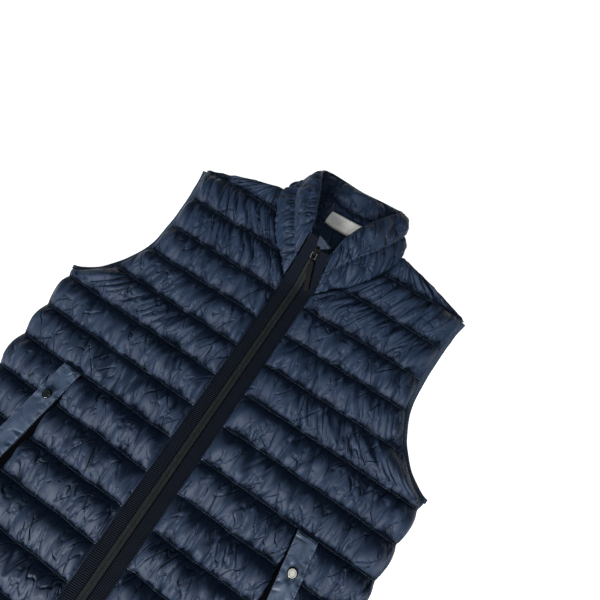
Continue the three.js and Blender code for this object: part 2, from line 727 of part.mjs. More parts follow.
const whole = new THREE.Box3().setFromObject(vest, true);
const middle = whole.getCenter(vector(0, 0, 0));
vest.position.set(-middle.x, -middle.y, -whole.min.z);

export default vest;
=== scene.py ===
"""Looks of a sleeveless quilted vest that lies flat on its back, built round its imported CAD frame.

Shapes are worked out in millimetres: x from the zip towards the wearer's left, y up the vest from the
underarms, and z up from the surface that it lies on. new_piece() brings them into the frame, in metres.
"""

import math

import bmesh
import bpy
import numpy as np
from mathutils import Matrix, Vector


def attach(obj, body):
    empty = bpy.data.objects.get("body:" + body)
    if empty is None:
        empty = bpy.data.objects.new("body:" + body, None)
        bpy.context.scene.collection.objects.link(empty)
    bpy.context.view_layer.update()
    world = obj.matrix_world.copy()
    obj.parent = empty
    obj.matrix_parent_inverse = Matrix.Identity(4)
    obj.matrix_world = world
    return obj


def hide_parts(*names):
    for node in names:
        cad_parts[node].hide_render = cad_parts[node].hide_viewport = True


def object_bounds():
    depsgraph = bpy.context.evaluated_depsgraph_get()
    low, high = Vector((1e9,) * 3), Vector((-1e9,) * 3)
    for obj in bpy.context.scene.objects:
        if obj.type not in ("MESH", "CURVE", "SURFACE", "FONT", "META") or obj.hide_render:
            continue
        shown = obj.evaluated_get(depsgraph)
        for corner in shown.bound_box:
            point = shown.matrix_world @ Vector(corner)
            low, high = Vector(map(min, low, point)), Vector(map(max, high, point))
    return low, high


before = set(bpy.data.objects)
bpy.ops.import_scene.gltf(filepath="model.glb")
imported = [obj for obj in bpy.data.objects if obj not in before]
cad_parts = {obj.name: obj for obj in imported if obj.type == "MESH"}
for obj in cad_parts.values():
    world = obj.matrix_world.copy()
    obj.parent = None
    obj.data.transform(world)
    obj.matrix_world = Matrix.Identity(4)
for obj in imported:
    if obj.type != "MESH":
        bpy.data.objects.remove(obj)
cad_low, cad_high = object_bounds()

bl_info = {
    "name": "Quilted vest",
    "version": (1, 0, 0),
    "blender": (4, 5, 0),
    "location": "View3D > Sidebar > Vest",
    "description": "Makes the cloth, trimmings, zip and studio of a quilted vest laid flat",
    "category": "Object",
}

MM = 0.001
SEED = 7
SIDES = {"left": 1, "right": -1}

# Cut of the panels, as in the frame's own solids
CHEST_HALF = 265.0
HEM_HALF = 253.0
HEM_Y = -422.0
SIDE_CURVE = 3.3
TIP_X = 211.0
TIP_Y = 213.0
NECK_X = 95.0
NECK_TOP_Y = 249.5
NECK_FRONT_Y = 134.0
NECK_BACK_Y = 236.0
WAIST_X = 201.0
WAIST_Y = 90.0
ARMHOLE_POWER = 1.6
ARMHOLE_FLARE = 10.0
FLARE_POWER = 2.6
PEEK = 2.0
BINDING = 6.0
TAPE_HALF = 21.5
GAP = 0.3
PANEL_EDGE = TAPE_HALF + GAP
NECK_END = 1.5
EDGE_LEVEL = 1.5
SHOULDER_SLOPE = (NECK_TOP_Y - TIP_Y) / (TIP_X - NECK_X)
NECK_DEPTH = NECK_TOP_Y - NECK_FRONT_Y
BACK_WALL = 9.0
BACK_EDGE = 3.2
BACK_ROUND = 25.0
LAYER_GAP = 0.6
EDGE_LAYER_GAP = 1.5

# The frame's y of the underarms, from the lower edge of its solids
UNDERARM_Y = cad_low.y / MM - (HEM_Y - BINDING)

# Stitch rows and filling
ROW_Y = 116.0
ROW_PITCH = 44.0
YOKE_PITCH = 48.5
YOKE_ROWS = 2
LOWEST_ROW = 12
SHOULDER_MARGIN = 4.0
SCALLOP = 3.0
PUFF_POWER = 2.2
RISE_POWER = 1.4
FALL_POWER = 2.4
CREST_PLACE = 0.56
CREST_JAG = 0.2
CREST_RANGE = (0.3, 0.85)
FULL_WIDTH = 40.0
PUFF_ROUND = 16.0
SEAM_LEVEL = 1.6
BACK_GROOVE = 2.2

# Puckers and folds: pitch, length and depth are shares of the pucker sizes, or of the row pitch
ROW_PUCKERS = (
    {"side": -1, "pitch": 1.5, "length": 1.0, "depth": 1.5, "girth": 1.3},
    {"side": 1, "pitch": 1.0, "length": 0.7, "depth": 0.9, "girth": 1.0},
)
LONG_FOLDS = ({"side": 1, "lean": 0.25}, {"side": -1, "lean": -0.35})
FOLD_PITCH = 4.5
FOLD_LENGTH = 1.5
FOLD_DEPTH = 1.4
FOLD_GIRTH = 0.8
PILLOWS = {"depth": 2.0, "up": 15, "across": 7}
HILLS = {"depth": 0.5, "wide": 10}
MEAN_SIZE = 0.8
FOLD_ROOM = 6.0
BACK_FOLD_ROOM = 8.0
LINING_INSET = 6.0
LINING_START = 10.0
LINING_FADE = 12.0
GATHER_REACH = 8.0
SPARE_ALONG = 0.01
ROW_WANDER = 0.5

# Settling of the cloth: shares of the pull between neighbours and next ones, and the bend it allows
NEAR_PULL = 0.9
BEND_PULL = 0.25
BEND_SPARE = 0.25
BEND_REST = 0.97
FILLING_PUSH = 0.04
LEAST_FILLING = 0.8

# Points of the cloth
UNDER_SKIP = 6
LINING_SKIP = 2
BLEND_Y = 180.0
ROW_CROWDING = 0.06

# Pockets
POCKET_TOP_Y = ROW_Y - 5 * ROW_PITCH
POCKET_BOTTOM_Y = -258.0
POCKET_X = 155.5
POCKET_SLANT = 0.113
POCKET_WIDTH = 26.0
POCKET_RISE = 5.0
# The pocket's mouth: a groove in the front, and in it a near-black sheet that is painted shade
MOUTH = {"width": 9.0, "least": 0.2, "reach": 110, "floor": 1.0, "level": 5.6, "wall": 0.5, "covered": 1.5}
STRIP_LEVEL = 17.2
STRIP_SWELL = 1.7
SNAP_DIP = 10.0
SNAP_Y = -143.0
SNAP_LEVEL = 20.0
# The snap's black base reaches past its cap: the snap's foot, and its black ring round the cap is painted
# shadow of the gap under the cap
SNAP_BASE_AND_SHADOW = [(0, 0), (5.2, 0), (5.8, 0.3), (5.8, 0.8), (5.4, 1.1), (0, 1.1)]
SNAP_RIM = [(0, 1), (4.6, 1), (4.95, 1.3), (4.9, 1.95), (4.7, 2.08), (4.6, 2.1)]
SNAP_CAP = SNAP_RIM + [(3.6, 2.1), (3.4, 2.04), (3.2, 2.0), (3, 2), (0, 2)]

# Folds from both edges of a pocket's strip: pitch, length, depth and lean
STRIP_FOLDS = ((9, 20, 1.6, 0.3), (8, 17, 1.3, -0.2))

# Collar: each section has its neck seam, middle stitch row and rim, and its filling on both sides
COLLAR_WALL = 3.0
COLLAR_SECTIONS = [
    {"foot": (23.2, 137.3, 12), "row": (20.8, 160, 27.7), "rim": (18.5, 184, 44.2), "out": 6, "inside": 0},
    {"foot": (35.6, 155, 11.8), "row": (34, 185, 32), "rim": (22, 208, 49), "out": 8, "inside": 0},
    {"foot": (54.6, 171, 11.5), "row": (47, 206, 33), "rim": (30, 230, 50), "out": 9, "inside": 0},
    {"foot": (73.8, 196, 11.5), "row": (62, 229, 31), "rim": (41, 252, 47), "out": 9, "inside": 0},
    {"foot": (87.6, 223, 10.5), "row": (74, 251, 26), "rim": (53, 274, 40), "out": 7, "inside": 0},
    {"foot": (92.5, 252.2, 8), "row": (81, 275, 15), "rim": (63, 299, 24), "out": 3, "inside": 0},
    {"foot": (78, 247.2, 4.2), "row": (70, 277, 6), "rim": (54, 306, 12), "out": 0, "inside": 4},
    {"foot": (45, 240.6, 4), "row": (40, 274, 6), "rim": (31, 305, 12), "out": 0, "inside": 7},
    {"foot": (0, 237.2, 4), "row": (0, 272, 6), "rim": (0, 303, 12), "out": 0, "inside": 7},
    {"foot": (-45, 240.6, 4), "row": (-40, 274, 6), "rim": (-31, 305, 12), "out": 0, "inside": 7},
    {"foot": (-78, 247.2, 4.2), "row": (-70, 277, 6), "rim": (-54, 306, 12), "out": 0, "inside": 4},
    {"foot": (-91.5, 252.2, 8), "row": (-77, 273, 15), "rim": (-61, 296, 24), "out": 2, "inside": 0},
    {"foot": (-87.2, 223, 10.5), "row": (-72, 249, 25), "rim": (-53, 274, 40), "out": 5, "inside": 0},
    {"foot": (-73.8, 196, 11.5), "row": (-62, 227, 31), "rim": (-42, 252, 47), "out": 9, "inside": 0},
    {"foot": (-54.6, 171, 11.5), "row": (-46, 201, 33), "rim": (-32, 230, 50), "out": 9, "inside": 0},
    {"foot": (-35.6, 155, 11.8), "row": (-33, 180, 32), "rim": (-24, 212, 51), "out": 8, "inside": 0},
    {"foot": (-23.2, 137.3, 12), "row": (-20.8, 163, 29.7), "rim": (-19.5, 195, 51.7), "out": 6, "inside": 0},
]
COLLAR_END = 1 / 16
COLLAR_FOOT_Y = 136.6
COLLAR_FOOT_Z = 11.6
COLLAR_SLOPE = math.radians(34.5)
COLLAR_COLUMNS = 421
BAFFLE_HEIGHT = 33
BAFFLE_STEPS = 20
RIM_ROLL = (2, 2.3, 2.6, 2.85)
NECK_SEAM = (1.9, 1.3)
COLLAR_PUCKER = 22
COLLAR_FOLD = 40
COLLAR_RELIEF = {"outer": {"hills": 0.7, "pillows": 2.8}, "inner": {"hills": 1.8, "pillows": 4.2}}
LEAST_LINING = 3.0
LABEL_STATIONS = (20 / 44, 23 / 44)
LABEL_MIDDLE = sum(LABEL_STATIONS) / 2
LABEL_TOP = 0.5
LABEL_CALM = 0.045
LABEL_LAYERS = (
    {"low": LABEL_STATIONS[0], "high": LABEL_STATIONS[1], "near": 1.7, "far": 2.2},
    {"low": LABEL_STATIONS[1] - 0.006, "high": LABEL_STATIONS[1] + 0.006, "near": 0.3, "far": 0.7},
)

# Metres of cloth round the collar and up one of its baffles, for the label's weave
COLLAR_RUN = 0.5
COLLAR_RISE = 0.03

# Bindings: half their section, how far their middle stands off the edge, and its height
BINDING_WIDE = 2.8
BINDING_HIGH = 1.65
BINDING_REACH = 3.1
BINDING_STEP = 1.6
BINDING_LEVEL = 1.75

# Zip
TAPE_WALL = 1.4
TAPE_TENT = 1.6
# Where each tape ends, how wide it is there, and how far its edge has parted from the other's
TAPE_ENDS = {1: {"top": 183.0, "rim": 17.2, "open": 1.5}, -1: {"top": 194.0, "rim": 18.2, "open": 7.0}}
TAPE_BEND = 4.0
ZIP_BAND = 4.7
BAND_RISE = 0.7
BAND_SEAM_PLACE = ZIP_BAND + 0.7
CORD_PLACES = (0.8, 1.8, 2.8, 3.8)
CORD_SIZE = (0.36, 0.2)
EDGE_SEAM = 2.4
COIL = {"pitch": 1.7, "length": 5.4, "radius": 0.6, "slant": 0.25, "below": 0.9}
SLIDER_Y = 180.0
SLIDER_LIFT = TAPE_TENT + TAPE_WALL / 2
SLIDER_SLOPE_Z = (SLIDER_Y - COLLAR_FOOT_Y) * math.tan(COLLAR_SLOPE)
SLIDER_PLACE = (
    0,
    SLIDER_Y - SLIDER_LIFT * math.sin(COLLAR_SLOPE),
    COLLAR_FOOT_Z + SLIDER_SLOPE_Z + SLIDER_LIFT * math.cos(COLLAR_SLOPE),
)
SLIDER_FRAME = Matrix.Translation(SLIDER_PLACE) @ Matrix.Rotation(COLLAR_SLOPE, 4, "X")
HINGE_PLACE = (0, -2.6, 3.8)
RING_TILT = 0.041
TAB_PLACE = (0, -7, 0)
TAB_TURN = math.radians(16)
PULL_FRAME = SLIDER_FRAME @ Matrix.Translation(HINGE_PLACE) @ Matrix.Rotation(RING_TILT, 4, "X")
TAB_FRAME = PULL_FRAME @ Matrix.Translation(TAB_PLACE) @ Matrix.Rotation(TAB_TURN, 4, "Z")
TAB_HALF_WALL = 1.1
TAB_RAILS = ({"x": -2.6, "wide": 0.55}, {"x": 0, "wide": 0.35}, {"x": 2.6, "wide": 0.55})
TAB_REACH = (-9, -42.4)
# The guard's satin is the pocket satin at this share of its brightness: painted shade on the guard
GUARD_SHADE = 0.5
GUARD_TOP = ((-5.8, 19.0), (-4.6, 19.6))
GUARD_FOOT = ((-2.4, 2.6), (14.6, 12.6))

# Stitches: spacing where it is not the quilting's, length and radius, and how far rows are raised
QUILTING = (2.4, 0.42)
QUILTING_LIFT = 0.9
SEAM_LIFT = 0.1
COLLAR_QUILTING = (1.9, 0.24)
STRIP_SEAM = (1.9, 0.22)
STRIP_END_SEAM = (2.2, 1.9, 0.3)
# Stitches beside the band touch end to end in near-black thread: sewing, and painted shade of the groove
# beside the band
BAND_SEAM_AND_SHADE = (2.4, 2.4, 0.7)
TAPE_SEAM = (2.6, 2.0, 0.22)

# Studio
CAMERA_PLACE = (0.1013, 0.0198, 0.5660)
CAMERA_RIGHT = (0.8402, 0.5417, 0.0237)
CAMERA_UP = (-0.5205, 0.7936, 0.3151)
CAMERA_BACK = (0.1518, -0.2771, 0.9488)
LENS = 27
SENSOR = 36
FLOOR_REACH = 6
FLOOR_DROP = 0.0003
SKY = (0.55, 0.78, 1, 1)
SKY_STRENGTH = 0.12
FLOOR_GLOW = 0.97
LAMPS = (
    {"name": "key", "place": (-0.2, -3.1, 1.55), "wide": 1.4, "high": 1.5, "power": 270},
    {"name": "fill", "place": (0.39, -0.39, 1.68), "wide": 0.8, "high": 0.8, "power": 8},
)

# Creases of the nylon: scale, turn, sharpness and depth in metres
CREASES = (
    (60, 0.35, 0.035, 0.0022),
    (55, -0.5, 0.035, 0.0019),
    (110, 0.05, 0.05, 0.0006),
)


def measure(name, description, default, least=0.0):
    return bpy.props.FloatProperty(
        name=name, description=description, default=default, min=least, unit="LENGTH"
    )


def percent(name, description, default):
    return bpy.props.FloatProperty(
        name=name, description=description, default=default, subtype="PERCENTAGE"
    )


def colour(name, description, default):
    return bpy.props.FloatVectorProperty(
        name=name, description=description, default=default, size=3, min=0.0, max=1.0, subtype="COLOR"
    )


class VestCloth(bpy.types.PropertyGroup):
    """Sizes of the filling, the puckers and the sewing."""

    puff: measure("Filling", "Height of a channel's crest above its stitch rows", 0.0115)
    mesh_across: measure("Mesh step along the rows", "From point to point along a row", 0.00105, 0.0005)
    mesh_up: measure("Mesh step across the rows", "From one row of points to the next", 0.0021, 0.0005)
    pucker_pitch: measure("Pucker pitch", "Mean distance between the puckers of a stitch row", 0.0062)
    pucker_depth: measure("Pucker depth", "Depth of the longer puckers", 0.0030)
    pucker_length: measure("Pucker length", "Length of the longest puckers", 0.026)
    gather: percent("Gather at the stitching", "Spare cloth beside a row, in percent of its length", 3.5)
    slack: percent("Slack at the crest", "Spare cloth on a crest, in percent of its length", 0.8)
    settle_steps: bpy.props.IntProperty(
        name="Settling steps", description="How often the cloth is drawn to its lengths", default=50, min=0
    )
    stitch: measure("Stitch pitch", "From one stitch of the quilting to the next", 0.0029)


class VestColours(bpy.types.PropertyGroup):
    """Colours of the finishes."""

    shell: colour("Shell", "Navy nylon of the panels and the collar", (0.0085, 0.0180, 0.0400))
    binding: colour("Binding", "Knitted edging of the armholes and the hem", (0.034, 0.052, 0.084))
    satin: colour("Satin", "Lighter blue satin of the pocket strips and the guard", (0.030, 0.047, 0.082))
    tape: colour("Zip tape", "Black woven tape", (0.0042, 0.0058, 0.0100))
    thread: colour("Thread", "Navy sewing thread", (0.120, 0.155, 0.215))
    label: colour("Label", "Cream woven label", (0.95, 0.88, 0.70))
    olive: colour("Zip cord", "Olive cords beside the teeth", (0.0095, 0.0118, 0.0098))
    steel: colour("Steel", "Caps of the snaps", (0.15, 0.15, 0.135))
    black: colour("Black", "Coil, slider and pull", (0.004, 0.004, 0.005))


def mix(low, high, share):
    return low + (high - low) * share


def unit(vectors):
    """Vectors of the same directions and of length 1."""
    return vectors / (np.linalg.norm(vectors, axis=-1, keepdims=True) + 1e-9)


def run_along(path):
    """Distances of a line's points from its first, measured along the line."""
    return np.concatenate([[0], np.cumsum(np.linalg.norm(np.diff(path, axis=0), axis=1))])


def turns_of(sides):
    """Angles of that many points, evenly spaced round a circle."""
    return 2 * np.pi * np.arange(sides) / sides


def quarter_round(t):
    """A quarter circle: 0 at t = 0, and 1 from t = 1 on."""
    return np.sqrt(1 - (1 - np.clip(t, 0, 1)) ** 2)


def side_x(y):
    """Half width below the underarms: the hem's, widening late by a power of the height."""
    share = np.clip((y - HEM_Y) / -HEM_Y, 0, 1)
    return mix(HEM_HALF, CHEST_HALF, share**SIDE_CURVE)


def armhole_x(y, inset):
    """Edge of the armhole: a flattened quarter ellipse to its waist, and a slow flare to the shoulder."""
    up = np.clip((y - WAIST_Y) / (TIP_Y - WAIST_Y), 0, None)
    above = WAIST_X - inset + ARMHOLE_FLARE * up**FLARE_POWER
    fall = np.clip((WAIST_Y - y) / (WAIST_Y + inset), 0, 1)
    reach = CHEST_HALF - WAIST_X + inset
    below = CHEST_HALF - reach * (1 - fall**ARMHOLE_POWER) ** (1 / ARMHOLE_POWER)
    return np.where(y >= WAIST_Y, above, below)


def armhole_room(x, y, inset):
    """Distance down from the armhole's lower corner, and a large number away from it."""
    along = np.clip((CHEST_HALF - x) / (CHEST_HALF - WAIST_X + inset), 0, 1)
    edge = WAIST_Y - (WAIST_Y + inset) * (1 - along**ARMHOLE_POWER) ** (1 / ARMHOLE_POWER)
    return np.where((x <= WAIST_X - inset) | (y >= WAIST_Y), 1e3, edge - y)


def shoulder_x(y):
    return NECK_X + (NECK_TOP_Y - y) / SHOULDER_SLOPE


def shoulder_y(x):
    return NECK_TOP_Y - SHOULDER_SLOPE * (x - NECK_X)


def neck_x(y):
    """Neckline of a front: a quarter sine from the zip to the shoulder."""
    up = np.clip((y - NECK_FRONT_Y) / NECK_DEPTH, 0, 1)
    return mix(PANEL_EDGE, NECK_X, np.sin(math.pi / 2 * up))


def zip_edge_x(y):
    """Inner edge of a front: along the zip, then the neckline."""
    return np.where(y < NECK_FRONT_Y, PANEL_EDGE, neck_x(y))


def neck_y(x):
    out = np.clip((x - PANEL_EDGE) / (NECK_X - PANEL_EDGE), 0, 1)
    return NECK_FRONT_Y + NECK_DEPTH * (2 / math.pi) * np.arcsin(out)


def back_top_y(x):
    """Upper edge of the back: a parabola at the neck, and the straight shoulders."""
    across = np.abs(x)
    neck = NECK_BACK_Y + (NECK_TOP_Y - NECK_BACK_Y) * (across / NECK_X) ** 2
    return np.where(across < NECK_X, neck, shoulder_y(across))


def front_inset(y):
    return BINDING + PEEK * np.sin(math.pi * np.clip(y / TIP_Y, 0, 1))


def row_y(k):
    return ROW_Y - k * (YOKE_PITCH if k < 0 else ROW_PITCH)


STITCH_ROWS = np.array(
    [HEM_Y]
    + [row_y(k) for k in range(LOWEST_ROW, -YOKE_ROWS - 1, -1)]
    + [NECK_TOP_Y + SHOULDER_MARGIN]
)


def channel_at(y):
    """Number of the channel at y, its width, and the share of it that lies below y."""
    index = np.clip(np.searchsorted(STITCH_ROWS, y, side="right") - 1, 0, len(STITCH_ROWS) - 2)
    width = STITCH_ROWS[index + 1] - STITCH_ROWS[index]
    return index, width, (y - STITCH_ROWS[index]) / width


def channel_arch(y):
    """Share of the crest's height at y: 1 less a power of the distance from the channel's middle."""
    width, across = channel_at(y)[1:]
    arch = 1 - np.abs(2 * across - 1) ** PUFF_POWER
    return np.clip(arch, 0, 1) * np.minimum(1, width / FULL_WIDTH)


def channel_loft(y, blur, seed):
    """Share of a front's height: it rises by 1 - (1 - u)^1.4 to a jagged crest above the channel's
    middle, and falls by 1 - u^2.4 behind it to the next stitch row."""
    index, width, across = channel_at(y)
    jag = MEAN_SIZE - np.abs(rough((len(STITCH_ROWS), y.shape[1]), 0, blur, seed))
    crest = CREST_PLACE + CREST_JAG * jag[index, np.arange(y.shape[1])[None, :]]
    crest = np.clip(crest, *CREST_RANGE)
    rise = 1 - np.clip(1 - across / crest, 0, 1) ** RISE_POWER
    fall = 1 - np.clip((across - crest) / (1 - crest), 0, 1) ** FALL_POWER
    return np.clip(np.minimum(rise, fall), 0, 1) * np.minimum(1, width / FULL_WIDTH)


def panel_side(y, inset):
    """Outer edge of a panel: scalloped side, armhole and shoulder, from the hem up."""
    side = side_x(y) - SCALLOP * (1 - channel_arch(y))
    upper = np.where(y <= TIP_Y, armhole_x(y, inset), shoulder_x(y))
    return np.where(y < -inset, side, upper)


def back_room(x, y):
    """Distance from a point of the back to the nearest edge of its cut."""
    across = np.abs(x)
    sides = panel_side(y, BINDING) - across
    return np.minimum.reduce([sides, armhole_room(across, y, BINDING), back_top_y(x) - y, y - HEM_Y])


def back_top(x, y):
    """Top of the back: a plain wall that rounds down to its edges."""
    return BACK_EDGE + (BACK_WALL - BACK_EDGE) * quarter_round(back_room(x, y) / BACK_ROUND)


def front_under(x, y):
    """Underside of a front: the back's top and a gap that grows where the back thins."""
    level = back_top(x, y)
    thinned = (BACK_WALL - level) / (BACK_WALL - BACK_EDGE)
    return level + mix(LAYER_GAP, EDGE_LAYER_GAP, thinned)


def channel_rows(step, lowest, highest):
    """Heights of a panel's rows of points: a whole number between stitch rows, crowded beside them."""
    rows = []
    for low, high in zip(STITCH_ROWS[:-1], STITCH_ROWS[1:]):
        count = max(3, round((high - low) / step))
        share = np.arange(count) / count
        rows.append(mix(low, high, share - ROW_CROWDING * np.sin(2 * math.pi * share)))
    rows = np.concatenate(rows)
    inside = rows[(rows >= lowest) & (rows < highest - step / 2)]
    return np.append(inside, highest)


def rough(shape, down, across, seed):
    """Smooth random hills with a deviation of 1: noise blurred over so many rows and columns."""
    noise = np.random.default_rng(seed).standard_normal(shape)
    spectrum = np.fft.rfft2(noise)
    v = np.fft.fftfreq(shape[0])[:, None] * down
    u = np.fft.rfftfreq(shape[1])[None, :] * across
    hills = np.fft.irfft2(spectrum * np.exp(-2 * math.pi**2 * (u**2 + v**2)), s=shape)
    return hills / hills.std()


def pull_pairs(points, free, first, second, rest, share, only_short):
    """Moves each pair of points along its line by a share of what parts it from its rest length."""
    a = points[first]
    b = points[second]
    gap = b - a
    length = np.sqrt(np.einsum("ijk,ijk->ij", gap, gap)) + 1e-6
    weight_a = free[first]
    weight_b = free[second]
    off = length - rest
    if only_short:
        off = np.minimum(off, 0)
    move = (share * off / (length * (weight_a + weight_b + 1e-6)))[..., None] * gap
    a += move * weight_a[..., None]
    b -= move * weight_b[..., None]


def pair_families(stiffness, bend):
    """Slices that pair a grid's points with their neighbours, and with the next ones but only when too
    close, so that no point is in two pairs of one family."""
    every = slice(None)
    families = []

    def pair(reach, share, only_short):
        for start in range(2 * reach):
            low = slice(start, -reach, 2 * reach)
            high = slice(start + reach, None, 2 * reach)
            families.append(((every, low), (every, high), share, only_short))
            families.append(((low, every), (high, every), share, only_short))

    pair(1, stiffness, False)
    left = slice(None, -1)
    right = slice(1, None)
    for start in (0, 1):
        low = slice(start, -1, 2)
        high = slice(start + 1, None, 2)
        families.append(((low, left), (high, right), stiffness * 0.5, False))
        families.append(((low, right), (high, left), stiffness * 0.5, False))
    pair(2, bend, True)
    return families


def grid_normals(points):
    """Unit normals of a grid of points: across by along, from central differences."""
    return unit(np.cross(np.gradient(points, axis=1), np.gradient(points, axis=0)))


def settle(shape, spare_across, spare_along, free, steps, seed, floor):
    """Padded cloth at rest. Its lengths are those of the given shape, made longer by its spare shares,
    so it buckles into puckers while the filling presses it outwards and its stitched points stay."""
    points = shape.astype(np.float32).copy()
    target = points.copy()
    free = free.astype(np.float32)
    families = []
    for first, second, share, only_short in pair_families(NEAR_PULL, BEND_PULL):
        gap = target[second] - target[first]
        rest = np.sqrt((gap**2).sum(2))
        across = np.abs(gap[..., 0]) > np.abs(gap[..., 1])
        spare = np.where(across, spare_across[first], spare_along)
        if only_short:
            spare = spare * BEND_SPARE
            rest = rest * BEND_REST
        families.append((first, second, (rest * (1 + spare)).astype(np.float32), share, only_short))
    hills = rough(free.shape, 4.0, 2.2, seed) * 0.4 + rough(free.shape, 9.0, 4.0, seed + 1) * 0.5
    points += (grid_normals(points) * (hills * free)[..., None]).astype(np.float32)
    for step in range(steps):
        push = FILLING_PUSH * (1 - 0.5 * step / steps)
        if step % 2 == 0:
            normals = grid_normals(points).astype(np.float32)
        points += normals * (push * free)[..., None]
        for family in families:
            pull_pairs(points, free, *family)
        points[..., 2] = np.maximum(points[..., 2], floor)
    return points.astype(float)


def grid_faces(rows, columns, start=0):
    """Four-sided faces of a grid whose points are numbered row by row from start."""
    corner = start + np.arange((rows - 1) * columns).reshape(rows - 1, columns)[:, :-1].ravel()
    return np.stack([corner, corner + 1, corner + columns + 1, corner + columns], axis=1)


def closed_wall(top, bottom):
    """Points and faces of a wall between two grids, closed round its rim. The bottom has as many rows
    as the top, and the same columns or every so many of them."""
    rows, columns = top.shape[:2]
    few = bottom.shape[1]
    skip = (columns - 1) // (few - 1)
    count = rows * columns
    points = np.concatenate([top.reshape(-1, 3), bottom.reshape(-1, 3)])
    upper = grid_faces(rows, columns)
    lower = grid_faces(rows, few, count)[:, ::-1]
    above = np.arange(count).reshape(rows, columns)
    below = count + np.arange(rows * few).reshape(rows, few)
    sides = []
    for column, turn in ((0, 1), (-1, -1)):
        strip = [above[1:, column], above[:-1, column], below[:-1, column], below[1:, column]]
        sides.append(np.stack(strip, axis=1)[:, ::turn])
    ends = []
    for row, turn in ((0, 1), (-1, -1)):
        for k in range(few - 1):
            along = above[row, k * skip : (k + 1) * skip + 1]
            ends.append(np.concatenate([along[::-1], below[row, k : k + 2]])[::turn])
    return points, [np.concatenate([upper, lower, *sides]), np.array(ends)]


def volume_of(points, faces):
    """Volume inside a closed surface: positive where its faces look outwards."""
    total = 0.0
    for group in faces:
        for k in range(1, group.shape[1] - 1):
            a, b, c = (points[group[:, corner]] for corner in (0, k, k + 1))
            total += np.einsum("ij,ij->i", a, np.cross(b, c)).sum()
    return total / 6


def join(parts):
    """One set of points and faces from several, with faces of like numbers of corners together."""
    points = []
    groups = {}
    count = 0
    for part_points, part_faces in parts:
        points.append(part_points)
        for group in part_faces:
            groups.setdefault(group.shape[1], []).append(group + count)
        count += len(part_points)
    return np.concatenate(points), [np.concatenate(group) for group in groups.values()]


def placed(name, data):
    """An object in the scene with its origin at the world's."""
    made = bpy.data.objects.new(name, data)
    bpy.context.scene.collection.objects.link(made)
    return made


def enter(name, mesh, material, nodes, body):
    """A piece of one material that rides on a body and stands for the named nodes."""
    mesh.materials.append(material)
    piece = placed(name, mesh)
    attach(piece, body)
    if nodes:
        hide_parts(*nodes)
    return piece


def new_piece(name, points, faces, material, slot, nodes=(), body="vest", uv=None):
    """A piece from points in millimetres from the underarms and arrays of faces, which are turned to
    look outwards."""
    if volume_of(points, faces) < 0:
        faces = [group[:, ::-1] for group in faces]
    placed = (points + [0, UNDERARM_Y, 0]) * MM
    corners = np.concatenate([group.ravel() for group in faces])
    sizes = np.concatenate([np.full(len(group), group.shape[1]) for group in faces])
    starts = np.concatenate([[0], np.cumsum(sizes)[:-1]])
    mesh = bpy.data.meshes.new(name)
    mesh.vertices.add(len(placed))
    mesh.vertices.foreach_set("co", placed.astype(np.float32).ravel())
    mesh.loops.add(len(corners))
    mesh.loops.foreach_set("vertex_index", corners.astype(np.int32))
    mesh.polygons.add(len(sizes))
    mesh.polygons.foreach_set("loop_start", starts.astype(np.int32))
    mesh.polygons.foreach_set("use_smooth", np.ones(len(sizes), bool))
    mesh.update(calc_edges=True)
    if uv is not None:
        layer = mesh.uv_layers.new(name="cloth")
        layer.data.foreach_set("uv", uv[corners].astype(np.float32).ravel())
    mesh.validate()
    return enter(name, mesh, material, nodes, body)


def pleats(along, away, pitch, longest, depth, seed, lean=0.0, girth=1.0):
    """Troughs and some ridges that run out from a seam, each with a place, length, lean, bend and width
    of its own: height = depth * (1 - away / length)^0.6 * exp(-|across / width|)."""
    random = np.random.default_rng(seed)
    field = np.zeros(along.shape)
    place = along.min()
    while place < along.max():
        place += pitch * (0.35 + random.gamma(2, 0.33))
        length = longest * np.clip(0.2 + random.exponential(0.28), 0.2, 1)
        tilt = lean + random.normal(0, 0.3)
        bend = random.normal(0, 0.35) / longest
        width = girth * random.uniform(0.7, 1.5)
        height = -depth * random.uniform(0.5, 1.25)
        if random.random() < 0.3:
            height *= -0.7
        far = np.clip(away / length, 0, 1)
        middle = place + tilt * away + bend * away**2
        spread = width * (1 + 1.3 * far)
        fade = (1 - far) ** 0.6 * np.clip(away / 1.6, 0, 1)
        field += height * fade * np.exp(-(np.abs(along - middle) / spread))
    return field


def row_pleats(x, y, cloth, seed):
    """Puckers on both sides of each stitch row of a panel, and longer folds across its channels."""
    pitch = cloth.pucker_pitch / MM
    depth = cloth.pucker_depth / MM
    longest = cloth.pucker_length / MM
    field = np.zeros(x.shape)
    height = y[:, x.shape[1] // 2]
    for index, row in enumerate(STITCH_ROWS):
        for kind in ROW_PUCKERS:
            away = (height - row) * kind["side"]
            band = (away > 0) & (away < longest)
            if band.any():
                off = np.abs(y[band] - row)
                sizes = kind["pitch"] * pitch, kind["length"] * longest, kind["depth"] * depth
                number = seed + 31 * index + kind["side"]
                field[band] += pleats(x[band], off, *sizes, number, girth=kind["girth"])
        band = (height > row) & (height < row + ROW_PITCH)
        if band.any():
            for kind in LONG_FOLDS:
                off = np.abs((y[band] - row) if kind["side"] > 0 else (row + ROW_PITCH - y[band]))
                sizes = FOLD_PITCH * pitch, FOLD_LENGTH * ROW_PITCH, FOLD_DEPTH * depth
                number = seed + 977 * index + kind["side"]
                field[band] += pleats(x[band], off, *sizes, number, kind["lean"], FOLD_GIRTH)
    return field


def crumple(shape, down, across, depth, seed):
    """Soft pillows parted by sharp creases: depth * (|noise| - its mean), the creases on its zero lines."""
    return depth * (np.abs(rough(shape, down, across, seed)) - MEAN_SIZE)


